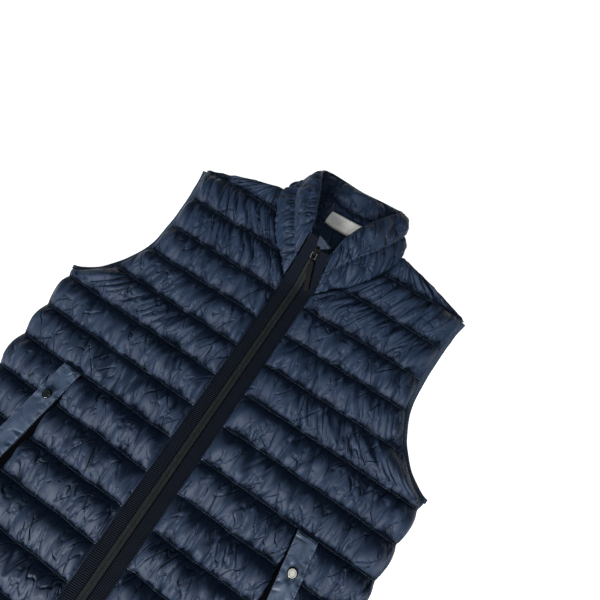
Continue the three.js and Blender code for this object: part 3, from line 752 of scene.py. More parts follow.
def spindles(centre, forward, length, radius):
    """Spindles with five sides whose radius is that of a half ellipse, for stitches and coil turns."""
    forward = unit(forward)
    aside = unit(np.cross(forward, [0, 0, 1.0]))
    upward = np.cross(aside, forward)
    sides = 5
    stations = (-0.65, 0, 0.65)
    rings = [centre - forward * length / 2]
    for station in stations:
        around = radius * math.sqrt(1 - station**2)
        for turn in turns_of(sides):
            reach = aside * math.cos(turn) + upward * math.sin(turn)
            rings.append(centre + forward * (station * length / 2) + reach * around)
    rings.append(centre + forward * length / 2)
    each = len(rings)
    points = np.stack(rings, axis=1).reshape(-1, 3)
    last = 1 + sides * (len(stations) - 1)
    quads = []
    caps = []
    for k in range(sides):
        after = (k + 1) % sides
        caps += [[0, 1 + after, 1 + k], [each - 1, last + k, last + after]]
        for low in range(1, last, sides):
            quads.append([low + k, low + after, low + sides + after, low + sides + k])
    starts = (np.arange(len(centre)) * each)[:, None, None]
    faces = []
    for group in (quads, caps):
        faces.append((np.array(group)[None] + starts).reshape(-1, len(group[0])))
    return points, faces


def sew(path, spacing, length, radius):
    """Stitches along a line of points, evenly spaced."""
    run = run_along(path)
    middles = np.arange(spacing / 2, run[-1], spacing)

    def at(place):
        return np.stack([np.interp(place, run, path[:, k]) for k in range(3)], axis=1)

    return spindles(at(middles), at(middles + length / 2) - at(middles - length / 2), length, radius)


def node(tree, kind, sockets=None, **settings):
    """A shader node with its settings, and its sockets set or linked."""
    made = tree.nodes.new("ShaderNode" + kind)
    for key, value in settings.items():
        setattr(made, key, value)
    for key, value in (sockets or {}).items():
        if isinstance(value, bpy.types.NodeSocket):
            tree.links.new(value, made.inputs[key])
        else:
            made.inputs[key].default_value = value
    return made


def finish(name, tint, roughness, **extras):
    """A material, its tree and its shader, with plain values set on the sockets."""
    material = bpy.data.materials.new(name)
    material.use_nodes = True
    shader = material.node_tree.nodes["Principled BSDF"]
    shader.inputs["Base Color"].default_value = (*tint, 1)
    shader.inputs["Roughness"].default_value = roughness
    for key, value in extras.items():
        shader.inputs[key.replace("_", " ")].default_value = value
    return material, material.node_tree, shader


def noise_of(tree, scale, detail=2.0, stretch=(1, 1, 1), turn=0.0):
    """Noise in the object's own space, turned about z and drawn out so many times along each axis."""
    place = node(tree, "TexCoord").outputs["Object"]
    sockets = {"Vector": place, "Scale": stretch, "Rotation": (0, 0, turn)}
    spread = node(tree, "Mapping", sockets, vector_type="TEXTURE")
    sockets = {"Vector": spread.outputs["Vector"], "Scale": scale, "Detail": detail}
    return node(tree, "TexNoise", sockets).outputs["Fac"]


def maths(tree, operation, *values):
    """The result of an operation on sockets or numbers."""
    return node(tree, "Math", dict(enumerate(values)), operation=operation).outputs[0]


def span_of(tree, *values):
    """A socket's value, brought from one span to another: the socket, both ends, both new ends."""
    return node(tree, "MapRange", dict(enumerate(values))).outputs[0]


def creases(tree, scale, stretch, turn, sharp):
    """Height with narrow valleys where a noise crosses its middle, kept where another noise is high."""
    cloud = noise_of(tree, scale, 0.5, stretch, turn)
    gap = maths(tree, "ABSOLUTE", maths(tree, "SUBTRACT", cloud, 0.5))
    valley = span_of(tree, gap, 0.0, sharp, 1.0, 0.0)
    kept = span_of(tree, noise_of(tree, scale * 0.7), 0.46, 0.62)
    return maths(tree, "SUBTRACT", 1.0, maths(tree, "MULTIPLY", valley, kept))


def raise_by(tree, shader, heights):
    """Bump from pairs of a height socket and its depth in metres, one after the other."""
    normal = None
    for height, depth in heights:
        sockets = {"Height": height, "Distance": depth, "Strength": 1.0}
        if normal is not None:
            sockets["Normal"] = normal
        normal = node(tree, "Bump", sockets).outputs["Normal"]
    tree.links.new(normal, shader.inputs["Normal"])


def vary(tree, shader, tint, share, by):
    """Base colour that goes from a darker to a lighter tint with a factor socket."""
    low = (*(part * (1 - share) for part in tint), 1)
    high = (*(min(1, part * (1 + share)) for part in tint), 1)
    blend = node(tree, "Mix", {0: by, 6: low, 7: high}, data_type="RGBA")
    tree.links.new(blend.outputs[2], shader.inputs["Base Color"])


def vary_gloss(tree, shader, low, high, by):
    """Roughness that goes from low to high with a factor socket."""
    tree.links.new(span_of(tree, by, 0.0, 1.0, low, high), shader.inputs["Roughness"])


def nylon(name, tint, roughness, shine, crinkles=1.0):
    """Down-proof nylon: a fine weave, small crinkles, creases that cross the rows, and a cool sheen."""
    material, tree, shader = finish(
        name,
        tint,
        roughness,
        Specular_IOR_Level=shine,
        Sheen_Weight=0.02,
        Sheen_Roughness=0.6,
        Sheen_Tint=(0.6, 0.75, 1, 1),
    )
    cloud = noise_of(tree, 60, 3)
    weave = noise_of(tree, 2600, 1)
    heights = [(noise_of(tree, 420, 3, (1, 3, 1)), 0.0001), (weave, 0.00005)]
    for scale, turn, sharp, depth in CREASES:
        heights.append((creases(tree, scale, (1, 5, 1), turn, sharp), depth))
    raise_by(tree, shader, [(height, depth * crinkles) for height, depth in heights])
    vary(tree, shader, tint, 0.12, cloud)
    vary_gloss(tree, shader, roughness - 0.05, roughness + 0.05, cloud)
    return material


def ribbed(name, tint, roughness, pitch, lean, depth, shine=0.15):
    """Woven or knitted tape: ribs at a pitch in metres that lean by so much per metre across it."""
    material, tree, shader = finish(
        name, tint, roughness, Specular_IOR_Level=shine, Sheen_Weight=0.03, Sheen_Roughness=0.5
    )
    cloth = node(tree, "UVMap", uv_map="cloth").outputs["UV"]
    run, across = node(tree, "SeparateXYZ", {0: cloth}).outputs[:2]
    leaning = maths(tree, "MULTIPLY", maths(tree, "ABSOLUTE", across), lean)
    along = maths(tree, "ADD", run, leaning)
    wave = maths(tree, "SINE", maths(tree, "MULTIPLY", along, 2 * math.pi / pitch))
    raise_by(tree, shader, [(wave, depth), (noise_of(tree, 2200, 2), 0.0002)])
    # Base colour follows the ribs' wave: darker in their troughs and lighter on their crests, painted shade
    # and painted highlight
    vary(tree, shader, tint, 0.45, span_of(tree, wave, -1.0, 1.0, 0.0, 1.0))
    return material


def thread(name, tint, fuzz=0.2, shine=0.5):
    """Twisted thread: a dull gloss and fine noise."""
    material, tree, shader = finish(name, tint, 0.6, Sheen_Weight=fuzz, Specular_IOR_Level=shine)
    raise_by(tree, shader, [(noise_of(tree, 3000, 1), 0.0001)])
    vary(tree, shader, tint, 0.4, noise_of(tree, 500, 2))
    return material


def metal(name, tint, roughness):
    """Tumbled metal: fine scratches, and a little unevenness in its gloss."""
    material, tree, shader = finish(name, tint, roughness, Metallic=1.0)
    cloud = noise_of(tree, 700, 3)
    raise_by(tree, shader, [(noise_of(tree, 1500, 2, (1, 10, 1)), 0.00001)])
    vary(tree, shader, tint, 0.06, cloud)
    vary_gloss(tree, shader, roughness - 0.03, roughness + 0.04, cloud)
    return material


def rubber(name, tint):
    """Moulded black rubber or lacquer with a fine grain."""
    material, tree, shader = finish(name, tint, 0.65, Specular_IOR_Level=0.05)
    grain = noise_of(tree, 1800, 2)
    raise_by(tree, shader, [(grain, 0.0001)])
    vary(tree, shader, tint, 0.3, grain)
    return material


def front_grid(cloth):
    """Plan of a front: rows of points from the zip or neckline to the side, armhole or shoulder."""
    y = channel_rows(cloth.mesh_up / MM, HEM_Y, NECK_TOP_Y - NECK_END)
    inner = zip_edge_x(y)
    outer = panel_side(y, front_inset(y))
    columns = 1 + UNDER_SKIP * round((HEM_HALF - PANEL_EDGE) / (cloth.mesh_across / MM) / UNDER_SKIP)
    share = np.linspace(0, 1, columns)
    x = inner[:, None] + (outer - inner)[:, None] * share[None, :]
    return x, np.broadcast_to(y[:, None], x.shape).copy()


def pocket_edge(y):
    """x of the pocket's opening: a straight line that slants out towards the hem."""
    return POCKET_X + (POCKET_TOP_Y - y) * POCKET_SLANT


def mouth_width(y):
    """Width of the pocket's open mouth: it widens down from its upper end."""
    return MOUTH["width"] * np.clip((POCKET_TOP_Y - y) / MOUTH["reach"], MOUTH["least"], 1)


def front_room(x, y):
    """Distance from a point of a front to the nearest edge of its cut."""
    sides = np.minimum(x - zip_edge_x(y), panel_side(y, front_inset(y)) - x)
    ends = np.minimum(np.where(x < NECK_X, neck_y(x), shoulder_y(x)) - y, y - HEM_Y)
    return np.minimum(np.minimum(sides, ends), armhole_room(x, y, BINDING))


def make_front(side, cloth, seed):
    """Outer and inner grid of a padded front, and its stitched rows. Its height is that of
    channel_loft(), rounded down at its edges, with puckers beside the rows and creases across."""
    x, y = front_grid(cloth)
    shape = x.shape
    under = front_under(x, y)
    room = front_room(x, y)
    inside = np.clip(room / FOLD_ROOM, 0, 1)
    arch = channel_arch(y)
    up = cloth.mesh_up / MM
    across = cloth.mesh_across / MM
    loft = channel_loft(y, 4 / across, seed + 8)
    z = under + SEAM_LEVEL + cloth.puff / MM * loft * quarter_round(room / PUFF_ROUND)
    wide = HILLS["wide"]
    z += HILLS["depth"] * rough(shape, wide / up, wide / across, seed + 3) * arch * inside
    pillows = PILLOWS["up"] / up, PILLOWS["across"] / across, PILLOWS["depth"]
    z += crumple(shape, *pillows, seed + 6) * arch * inside
    z += row_pleats(x, y, cloth, seed) * inside
    row_gap = np.abs(y[:, 0, None] - STITCH_ROWS[None, :]).min(axis=1)
    on_row = row_gap < 0.01
    beside = x - pocket_edge(y)
    in_pocket = (y <= POCKET_TOP_Y + 0.1) & (y >= POCKET_BOTTOM_Y - 0.1)
    groove = in_pocket & (beside > -mouth_width(y) - GAP) & (beside < 0)
    covered = in_pocket & (beside >= 0) & (beside <= POCKET_WIDTH)
    z[groove] = (under + MOUTH["floor"])[groove]
    z[covered] = (under + SEAM_LEVEL + POCKET_RISE)[covered]
    free = np.ones(shape)
    free[on_row] = 0
    free[:, [0, -1]] = 0
    free[[0, -1], :] = 0
    free[groove | covered] = 0
    wander = ROW_WANDER * rough(shape, 2, 9, seed + 5) * inside
    y = y + np.where(on_row[:, None] & ~covered, wander, 0)
    uneven = np.clip(1 + 0.45 * rough(shape, 9, 18, seed + 2), 0.2, 2)
    near = np.exp(-row_gap / GATHER_REACH)[:, None]
    spare = (cloth.slack + (cloth.gather - cloth.slack) * near) / 100 * uneven
    cut = np.stack([x, y, z], axis=2)
    settled = settle(cut, spare, SPARE_ALONG, free, cloth.settle_steps, seed, under + LEAST_FILLING)
    bottom = np.stack([x, y, under], axis=2)[:, ::UNDER_SKIP]
    for grid in (settled, bottom):
        grid[..., 0] *= side
    sewn = [settled[row][~covered[row]] for row in np.flatnonzero(on_row)[1:]]
    return settled, bottom, sewn


def make_back(cloth):
    """Top and underside of the back: its crests lie on the surface, and its stitch rows stand clear."""
    up = cloth.mesh_up / MM
    rows = channel_rows(up, HEM_Y, BLEND_Y)
    share = np.linspace(-1, 1, 1 + UNDER_SKIP * round(HEM_HALF / up / UNDER_SKIP))[None, :]
    y = np.broadcast_to(rows[:, None], (len(rows), share.size))
    x = share * panel_side(rows, BINDING)[:, None]
    rise = np.linspace(0, 1, round((NECK_TOP_Y - BLEND_Y) / up))[1:, None]
    top_x = share * (TIP_X - BINDING)
    low_x = share * armhole_x(BLEND_Y, BINDING)
    x = np.concatenate([x, mix(low_x, top_x, rise)])
    y = np.concatenate([y, mix(BLEND_Y, back_top_y(top_x), rise)])
    inside = np.clip(back_room(x, y) / BACK_FOLD_ROOM, 0, 1)
    groove = BACK_GROOVE * (1 - channel_arch(y)) + 0.5 * rough(x.shape, 5, 5, SEED + 60)
    under = np.maximum(0, (groove - row_pleats(x, y, cloth, SEED + 50)) * inside)
    top = np.stack([x, y, back_top(x, y)], axis=2)[:, ::LINING_SKIP]
    height = top[..., 1]
    in_neck = np.clip((neck_x(height) - LINING_INSET - np.abs(top[..., 0])) / LINING_FADE, 0, 1)
    in_neck *= np.clip((height - NECK_FRONT_Y - LINING_START) / LINING_FADE, 0, 1)
    in_neck *= height < back_top_y(top[..., 0]) - 1
    folds = crumple(in_neck.shape, len(top) / 30, 2.5, 2.2, SEED + 62)
    top[..., 2] += in_neck * (folds + 1.2 * rough(in_neck.shape, 5, 4, SEED + 63))
    return np.stack([x, y, under], axis=2), top


def section_curve(key, at):
    """Centripetal Catmull-Rom curve through one column of the collar's sections."""
    points = np.array([section[key] for section in COLLAR_SECTIONS], float)
    points = np.concatenate([[2 * points[0] - points[1]], points, [2 * points[-1] - points[-2]]])
    place = at * (len(COLLAR_SECTIONS) - 1)
    index = np.minimum(place.astype(int), len(COLLAR_SECTIONS) - 2)
    t = (place - index)[:, None]
    p0, p1, p2, p3 = (points[index + k] for k in range(4))
    d0, d1, d2 = (
        np.sqrt(np.linalg.norm(b - a, axis=1, keepdims=True)) for a, b in ((p0, p1), (p1, p2), (p2, p3))
    )
    start = ((p1 - p0) / d0 - (p2 - p0) / (d0 + d1) + (p2 - p1) / d1) * d1
    end = ((p2 - p1) / d1 - (p3 - p1) / (d1 + d2) + (p3 - p2) / d2) * d1
    square = 3 * (p2 - p1) - 2 * start - end
    cube = 2 * (p1 - p2) + start + end
    return p1 + start * t + square * t**2 + cube * t**3


def section_value(key, at):
    values = [section[key] for section in COLLAR_SECTIONS]
    return np.interp(at, np.linspace(0, 1, len(values)), values)


def collar_side(at, heights, cloth, seed, inner):
    """One side of the collar: its middle surface moved out by the wall, two padded baffles and their
    puckers. Heights run from 0 at the neck seam through 1 at the stitch row to 2 at the rim."""
    foot = section_curve("foot", at)
    row = section_curve("row", at)
    rim = section_curve("rim", at)
    run = run_along(row)
    to_end = np.minimum(run, run[-1] - run)
    shape = (len(heights), len(at))
    across = np.where(heights < 2, heights % 1, 1)[:, None]
    to_seam = np.minimum(across, 1 - across)
    arch = quarter_round(2 * to_seam)
    away = np.broadcast_to(BAFFLE_HEIGHT * to_seam, shape)
    along = np.broadcast_to(run, shape)
    pitch = cloth.pucker_pitch / MM
    depth = cloth.pucker_depth / MM
    field = np.zeros(shape)
    for baffle in (0, 1):
        for half in (0, 1):
            low = baffle + half / 2
            band = (heights >= low) & (heights <= low + 0.5)
            seam = along[band], away[band]
            number = seed + 10 * baffle + half
            lean = 0.25 - 0.5 * half
            field[band] += pleats(*seam, pitch, COLLAR_PUCKER, depth, number, lean)
            field[band] += pleats(*seam, 2.5 * pitch, COLLAR_FOLD, 1.3 * depth, number + 5, 2 * lean)
    relief = COLLAR_RELIEF["inner" if inner else "outer"]
    field *= 1 + 0.5 * np.exp(-to_end / 60)
    field += relief["hills"] * rough(shape, 4, 7, seed + 3) * arch
    field += crumple(shape, 6, 6, relief["pillows"], seed + 4) * arch
    if inner:
        calm = np.exp(-(((at - LABEL_MIDDLE) / LABEL_CALM) ** 4))
        field *= 1 - 0.8 * calm * (heights < 0.7)[:, None]
        filling = np.maximum(section_value("inside", at), LEAST_LINING) * arch
    else:
        ends = quarter_round(np.minimum(at, 1 - at) / COLLAR_END)
        filling = section_value("out", at) * arch * ends
    field *= np.clip(to_end / 5, 0, 1)
    tangent = np.gradient(row, axis=0)
    grid = np.zeros((*shape, 3))
    for index, height in enumerate(heights):
        lower = height < 1
        start = foot if lower else row
        upward = (row - foot) if lower else (rim - row)
        share = min(height if lower else height - 1, 1)
        over = max(0.0, height - 2) * math.pi / 2
        offset = COLLAR_WALL / 2 * math.cos(over) + filling[index] + field[index]
        outward = unit(np.cross(tangent, upward)) * (-1 if inner else 1)
        lift = COLLAR_WALL / 2 * math.sin(over)
        grid[index] = start + upward * share + outward * offset[:, None] + unit(upward) * lift
    grid[..., 2] = np.maximum(grid[..., 2], 0.3)
    return grid


def label_layers(at, heights, inner):
    """Points, faces and plan of the folded label, whose layers lie on the lining below the neck's top."""
    rows = heights <= LABEL_TOP + 0.01
    normals = grid_normals(inner)
    if normals[5, len(at) // 2, 1] > 0:
        normals = -normals
    layers = []
    plans = []
    for layer in LABEL_LAYERS:
        columns = (at >= layer["low"]) & (at <= layer["high"])
        face = inner[rows][:, columns]
        away = normals[rows][:, columns]
        layers.append(closed_wall(face + away * layer["far"], face + away * layer["near"]))
        plan = np.meshgrid(at[columns] * COLLAR_RUN, heights[rows] * COLLAR_RISE)
        plans += [np.stack(plan, axis=2).reshape(-1, 2)] * 2
    return *join(layers), np.concatenate(plans)


def tape_edge_z(y):
    """Height of the tapes' edges: level on the body, and up the collar's slope past a soft bend."""
    body = front_under(np.full(y.shape, PANEL_EDGE), np.clip(y, HEM_Y, 0)) + EDGE_LEVEL
    past = (y - COLLAR_FOOT_Y) / TAPE_BEND
    foot = body + (COLLAR_FOOT_Z - body) / (1 + np.exp(-past))
    return foot + math.tan(COLLAR_SLOPE) * TAPE_BEND * np.logaddexp(0, past)


def tape_point(x, y, across, level):
    """A point of a tape: across goes from 0 at the teeth to 1 at its sewn edge, level is off its middle."""
    tilt = COLLAR_SLOPE / (1 + np.exp(-(y - COLLAR_FOOT_Y) / TAPE_BEND))
    lift = TAPE_TENT * (1 - across) + level
    return np.stack([x, y - lift * np.sin(tilt), tape_edge_z(y) + lift * np.cos(tilt)], axis=-1)


def make_tape(side):
    """Both faces of a zip tape: a raised band beside the teeth, and small waves along its sewn edge."""
    end = TAPE_ENDS[side]
    y = np.append(np.arange(HEM_Y - BINDING, end["top"], 2.0), end["top"])[:, None]
    across = np.linspace(0, 1, 37)[None, :]
    up = np.clip((y - COLLAR_FOOT_Y) / (end["top"] - COLLAR_FOOT_Y), 0, 1)
    outer = mix(TAPE_HALF, end["rim"], up)
    past = np.clip((y - SLIDER_Y) / (end["top"] - SLIDER_Y), 0, 1)
    inner = GAP / 2 + end["open"] * past**1.5
    x = mix(inner, outer, across)
    off_band = x - inner - ZIP_BAND
    band = BAND_RISE / (1 + np.exp(off_band / 0.2)) - 0.5 * np.exp(-(((off_band - 0.6) / 0.5) ** 2))
    wave = 0.25 * np.sin(y / 9.0 + side) * across + 0.2 * np.sin(y / 3.7 + 2 * side) * across**2
    groove = -0.35 * np.exp(-(((x - outer + EDGE_SEAM) / 0.5) ** 2))
    y = y + 0 * x
    faces = []
    for level, relief in ((TAPE_WALL / 2, band + groove + wave), (-TAPE_WALL / 2, wave)):
        faces.append(tape_point(side * x, y, across, level + relief))
    plan = np.stack([y, x], axis=2).reshape(-1, 2) * MM
    return *closed_wall(*faces), np.concatenate([plan, plan])


def zip_line(side, offset, lift):
    """A line on a tape at a distance from the middle of the zip."""
    y = np.arange(HEM_Y - BINDING + 1, SLIDER_Y - 9, 1.5)
    across = np.full(y.shape, offset / TAPE_HALF)
    return tape_point(side * np.full(y.shape, offset), y, across, TAPE_WALL / 2 + lift)


def ring_faces(number):
    """Four-sided faces between rows of numbered points that each run round a closed ring."""
    after = np.roll(number, -1, axis=1)
    return np.stack([number[:-1], after[:-1], after[1:], number[1:]], axis=2).reshape(-1, 4)


def tube(path, half_wide, half_high, sides, power=2.0):
    """A closed tube along a level path: its section is a superellipse, wide across and high upwards."""
    forward = np.gradient(path, axis=0)
    forward[:, 2] = 0
    forward = unit(forward)
    aside = np.stack([forward[:, 1], -forward[:, 0], np.zeros(len(path))], axis=1)
    turns = turns_of(sides)
    reaches = (np.cos(turns), np.sin(turns))
    out, rise = (np.sign(reach) * np.abs(reach) ** (2 / power) for reach in reaches)
    wide = np.broadcast_to(half_wide, len(path))
    high = np.broadcast_to(half_high, len(path))
    points = path[:, None] + aside[:, None] * (wide[:, None] * out)[..., None]
    points[..., 2] += high[:, None] * rise
    number = np.arange(len(path) * sides).reshape(len(path), sides)
    faces = [ring_faces(number), np.stack([number[0, ::-1], number[-1]])]
    girth = math.pi * float(np.mean(wide) + np.mean(high))
    plan = np.meshgrid(run_along(path), np.arange(sides) / sides * girth, indexing="ij")
    return points.reshape(-1, 3), faces, np.stack(plan, axis=2).reshape(-1, 2) * MM


def ripple(count, seed, blur, size):
    """A line of smooth random numbers."""
    return size * rough((1, count), 0, blur, seed)[0]


def binding_path(edge, reach, height, seed):
    """A line beside a panel's edge, moved out by a reach and raised to a height, a little uneven."""
    edge = np.asarray(edge, float)
    steps = np.gradient(edge, axis=0)
    normal = unit(np.stack([steps[:, 1], -steps[:, 0]], axis=1))
    at = edge + normal * (reach + ripple(len(edge), seed, 6, 0.2))[:, None]
    z = height(at[:, 0], at[:, 1]) + ripple(len(edge), seed + 1, 5, 0.15)
    return np.column_stack([at, z])


def armhole_edge(inset):
    """Points of an armhole's edge from the underarm to the shoulder, evenly spaced."""
    y = np.linspace(-BINDING, TIP_Y, 1500)
    edge = np.column_stack([panel_side(y, inset(y)), y])
    run = run_along(edge)
    even = np.arange(0, run[-1], BINDING_STEP)
    return np.column_stack([np.interp(even, run, edge[:, k]) for k in range(2)])


def cad_copy(name, material, body, bevel):
    """A copy of a frame node with its doubles merged and its edges rounded, which replaces it."""
    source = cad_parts[name]
    mesh = source.data.copy()
    mesh.name = name + "_fine"
    work = bmesh.new()
    work.from_mesh(mesh)
    bmesh.ops.remove_doubles(work, verts=work.verts, dist=1e-6)
    bmesh.ops.dissolve_limit(work, angle_limit=0.01, verts=work.verts, edges=work.edges)
    sharp = [edge for edge in work.edges if edge.calc_face_angle(0) > math.radians(25)]
    bmesh.ops.bevel(work, geom=sharp, offset=bevel * MM, segments=2, profile=0.6, affect="EDGES")
    bmesh.ops.recalc_face_normals(work, faces=work.faces)
    work.to_mesh(mesh)
    work.free()
    mesh.materials.clear()
    enter(name + "_fine", mesh, material, [name], body)


class VEST_OT_fronts(bpy.types.Operator):
    """Make the two padded fronts and their quilting stitches"""

    bl_idname = "vest.fronts"
    bl_label = "Padded fronts"

    def execute(self, context):
        cloth = context.scene.vest_cloth
        colours = context.scene.vest_colours
        material = nylon("navy_nylon", colours.shell, 0.6, 0.2)
        sewing = thread("navy_thread", colours.thread)
        for word, side in SIDES.items():
            settled, bottom, sewn = make_front(side, cloth, SEED + 10 * (side + 1))
            wall = closed_wall(settled, bottom)
            piece = new_piece("quilt_front_" + word, *wall, material, "shell", ["front_" + word])
            rows = [row + [0, 0, QUILTING_LIFT] for row in sewn if len(row) > 2]
            stitches = join([sew(row, cloth.stitch / MM, *QUILTING) for row in rows])
            new_piece("quilting_" + word, *stitches, sewing, "shell")
        return {"FINISHED"}


class VEST_OT_back(bpy.types.Operator):
    """Make the padded back that the vest lies on"""

    bl_idname = "vest.back"
    bl_label = "Padded back"

    def execute(self, context):
        wall = closed_wall(*make_back(context.scene.vest_cloth))
        material = bpy.data.materials["navy_nylon"]
        piece = new_piece("quilt_back", *wall, material, "shell", ["back_panel"])
        return {"FINISHED"}


class VEST_OT_collar(bpy.types.Operator):
    """Make the padded collar and the label sewn inside it"""

    bl_idname = "vest.collar"
    bl_label = "Collar and label"

    def execute(self, context):
        cloth = context.scene.vest_cloth
        colours = context.scene.vest_colours
        at = np.linspace(0, 1, COLLAR_COLUMNS)
        baffle = np.linspace(0, 1, BAFFLE_STEPS, endpoint=False)
        heights = np.concatenate([baffle, 1 + baffle, RIM_ROLL])
        outer = collar_side(at, heights, cloth, SEED + 70, False)
        inner = collar_side(at, heights, cloth, SEED + 90, True)
        material = bpy.data.materials["navy_nylon"]
        piece = new_piece("quilt_collar", *closed_wall(outer, inner), material, "shell", ["collar"])
        rows = [face[BAFFLE_STEPS] + [0, 0, SEAM_LIFT] for face in (outer, inner)]
        stitches = join([sew(row, cloth.stitch / MM, *COLLAR_QUILTING) for row in rows])
        new_piece("quilting_collar", *stitches, bpy.data.materials["navy_thread"], "shell")

        seam = section_curve("foot", np.linspace(COLLAR_END / 2, 1 - COLLAR_END / 2, 240))
        seam[:, 2] = np.maximum(seam[:, 2], 5.0) + ripple(len(seam), SEED + 95, 3, 0.25)
        seam[:, 1] -= 1.2 * np.clip((seam[:, 1] - NECK_BACK_Y + 10) / 10, 0, 1)
        new_piece("neck_seam", *tube(seam, *NECK_SEAM, 10)[:2], material, "shell")

        woven = ribbed("cream_label", colours.label, 0.75, 0.0009, 0.0, 0.00008)
        points, faces, plan = label_layers(at, heights, inner)
        piece = new_piece("woven_label", points, faces, woven, "label", ["neck_label"], uv=plan)
        return {"FINISHED"}


class VEST_OT_bindings(bpy.types.Operator):
    """Make the knitted edgings of the armholes and the hem"""

    bl_idname = "vest.bindings"
    bl_label = "Bindings"

    def execute(self, context):
        colours = context.scene.vest_colours
        knit = ribbed("knit_edging", colours.binding, 0.7, 0.0021, 0.5, 0.0003)

        def over_back(x, y):
            return front_under(np.abs(x), np.maximum(y, HEM_Y)) + EDGE_LEVEL

        def on_surface(x, y):
            return np.full(x.shape, BINDING_LEVEL)

        def along_hem(start, end):
            x = np.arange(start, end, BINDING_STEP)
            return np.column_stack([x, np.full(x.shape, HEM_Y)])

        hem_end = float(panel_side(np.array([HEM_Y]), np.array([BINDING]))[0])
        edges = (
            ("armhole_binding_front_", armhole_edge(front_inset), over_back),
            ("armhole_binding_back_", armhole_edge(lambda y: BINDING + 0 * y), on_surface),
            ("hem_binding_front_", along_hem(PANEL_EDGE, hem_end), over_back),
        )
        for word, side in SIDES.items():
            for name, edge, height in edges:
                self.sew_on(name + word, edge, height, SEED + side, side, knit)
        self.sew_on("hem_binding_back", along_hem(-hem_end, hem_end), on_surface, SEED, 1, knit)
        return {"FINISHED"}

    def sew_on(self, name, edge, height, seed, side, knit):
        path = binding_path(edge, BINDING_REACH, height, seed)
        path[:, 0] *= side
        wide = BINDING_WIDE + ripple(len(path), SEED + 4, 3, 0.12)
        high = BINDING_HIGH + ripple(len(path), SEED + 5, 3, 0.08)
        points, faces, uv = tube(path, wide, high, 20, 3.0)
        points[:, 2] = np.maximum(points[:, 2], 0)
        piece = new_piece("knit_" + name, points, faces, knit, "binding", [name], uv=uv)


class VEST_OT_zip(bpy.types.Operator):
    """Make the zip: its tapes, coil, box, slider, ring, pull and satin guard"""

    bl_idname = "vest.zip"
    bl_label = "Zip"

    def execute(self, context):
        colours = context.scene.vest_colours
        tape = ribbed("zip_tape_weave", colours.tape, 0.9, 0.0021, 0.15, 0.0002, 0.03)
        black = rubber("black_rubber", colours.black)
        metal("nickel_steel", colours.steel, 0.17)
        wire = metal("dark_wire", (0.03, 0.03, 0.03), 0.4)
        # Near-black thread without sheen: real stitching, and along the band a continuous line that is
        # painted shade of its groove
        sewing = thread("black_thread_and_groove_shade", (0.001, 0.001, 0.0015), 0.0, 0.02)
        cords = thread("olive_cord", colours.olive, 0.05, 0.1)
        seams = []
        lines = []
        for word, side in SIDES.items():
            points, faces, plan = make_tape(side)
            name = "zip_tape_" + word
            piece = new_piece("woven_" + name, points, faces, tape, "zip_tape", [name], uv=plan)
            seams.append(sew(zip_line(side, BAND_SEAM_PLACE, 0.05), *BAND_SEAM_AND_SHADE))
            seams.append(sew(zip_line(side, TAPE_HALF - EDGE_SEAM, -SEAM_LIFT), *TAPE_SEAM))
            for place in CORD_PLACES:
                lines.append(tube(zip_line(side, place, BAND_RISE + 0.02), *CORD_SIZE, 6)[:2])
        new_piece("zip_seams_and_groove_shade", *join(seams), sewing, "zip_tape")
        new_piece("zip_cords", *join(lines), cords, "zip_tape")
        new_piece("zip_coil", *coil_teeth(), black, "zip_coil", ["zip_chain"])
        cad_copy("zip_box", black, "vest", 0.35)
        cad_copy("zip_slider", black, "vest", 0.3)
        cad_copy("pull_ring", wire, "pull", 0.35)
        cad_copy("pull_tab", black, "pull", 0.4)
        rails = []
        for rail in TAB_RAILS:
            path = np.full((30, 3), (rail["x"], 0, TAB_HALF_WALL), float)
            path[:, 1] = np.linspace(*TAB_REACH, 30)
            rails.append(tube(path, rail["wide"], 0.5, 8)[:2])
        points, faces = join(rails)
        new_piece("pull_rails", placed_by(TAB_FRAME, points), faces, black, "pull_rubber", body="pull")
        nylon("blue_satin", colours.satin, 0.48, 0.28, 0.4)
        # The guard is a copy of the pocket satin at half brightness: painted shade
        lining = nylon("guard_satin_painted_shade", [GUARD_SHADE * part for part in colours.satin], 0.55, 0.2, 0.4)
        points, faces = satin_guard()
        points = placed_by(SLIDER_FRAME, points)
        piece = new_piece("satin_guard", points, faces, lining, "satin", ["zip_garage"])
        return {"FINISHED"}


def coil_teeth():
    """The closed coil under the tapes: a spindle across the middle for each turn."""
    y = np.arange(HEM_Y + 5, SLIDER_Y - 1, COIL["pitch"])
    middle = tape_point(0 * y, y, np.full(y.shape, 0.05), -TAPE_WALL / 2 - COIL["below"])
    forward = np.tile([1.0, COIL["slant"], 0], (len(y), 1))
    return spindles(middle, forward, COIL["length"], COIL["radius"])


def placed_by(matrix, points):
    turn = np.array(matrix)
    return points @ turn[:3, :3].T + turn[:3, 3]


def satin_guard():
    """The satin corner behind the parted tapes: a fan of pleats of 0.8 * |sin|, flatter at its top."""
    across = np.linspace(0, 1, 61)[None, :]
    up = np.linspace(0, 1, 31)[:, None]
    top_x, top_y = (mix(*ends, across) for ends in zip(*GUARD_TOP))
    foot_x, foot_y = (mix(*ends, across) for ends in zip(*GUARD_FOOT))
    x = mix(foot_x, top_x, up)
    y = mix(foot_y - 1.2 * np.sin(math.pi * across), top_y, up)
    fold = 0.8 * np.abs(np.sin(math.pi * (4 * across + 0.3 * up))) * (1 - 0.8 * up)
    z = 0.4 + fold + 1.0 * np.sin(math.pi * across) * (1 - up)
    return closed_wall(np.stack([x, y, z + 0.4], axis=2), np.stack([x, y, z], axis=2))


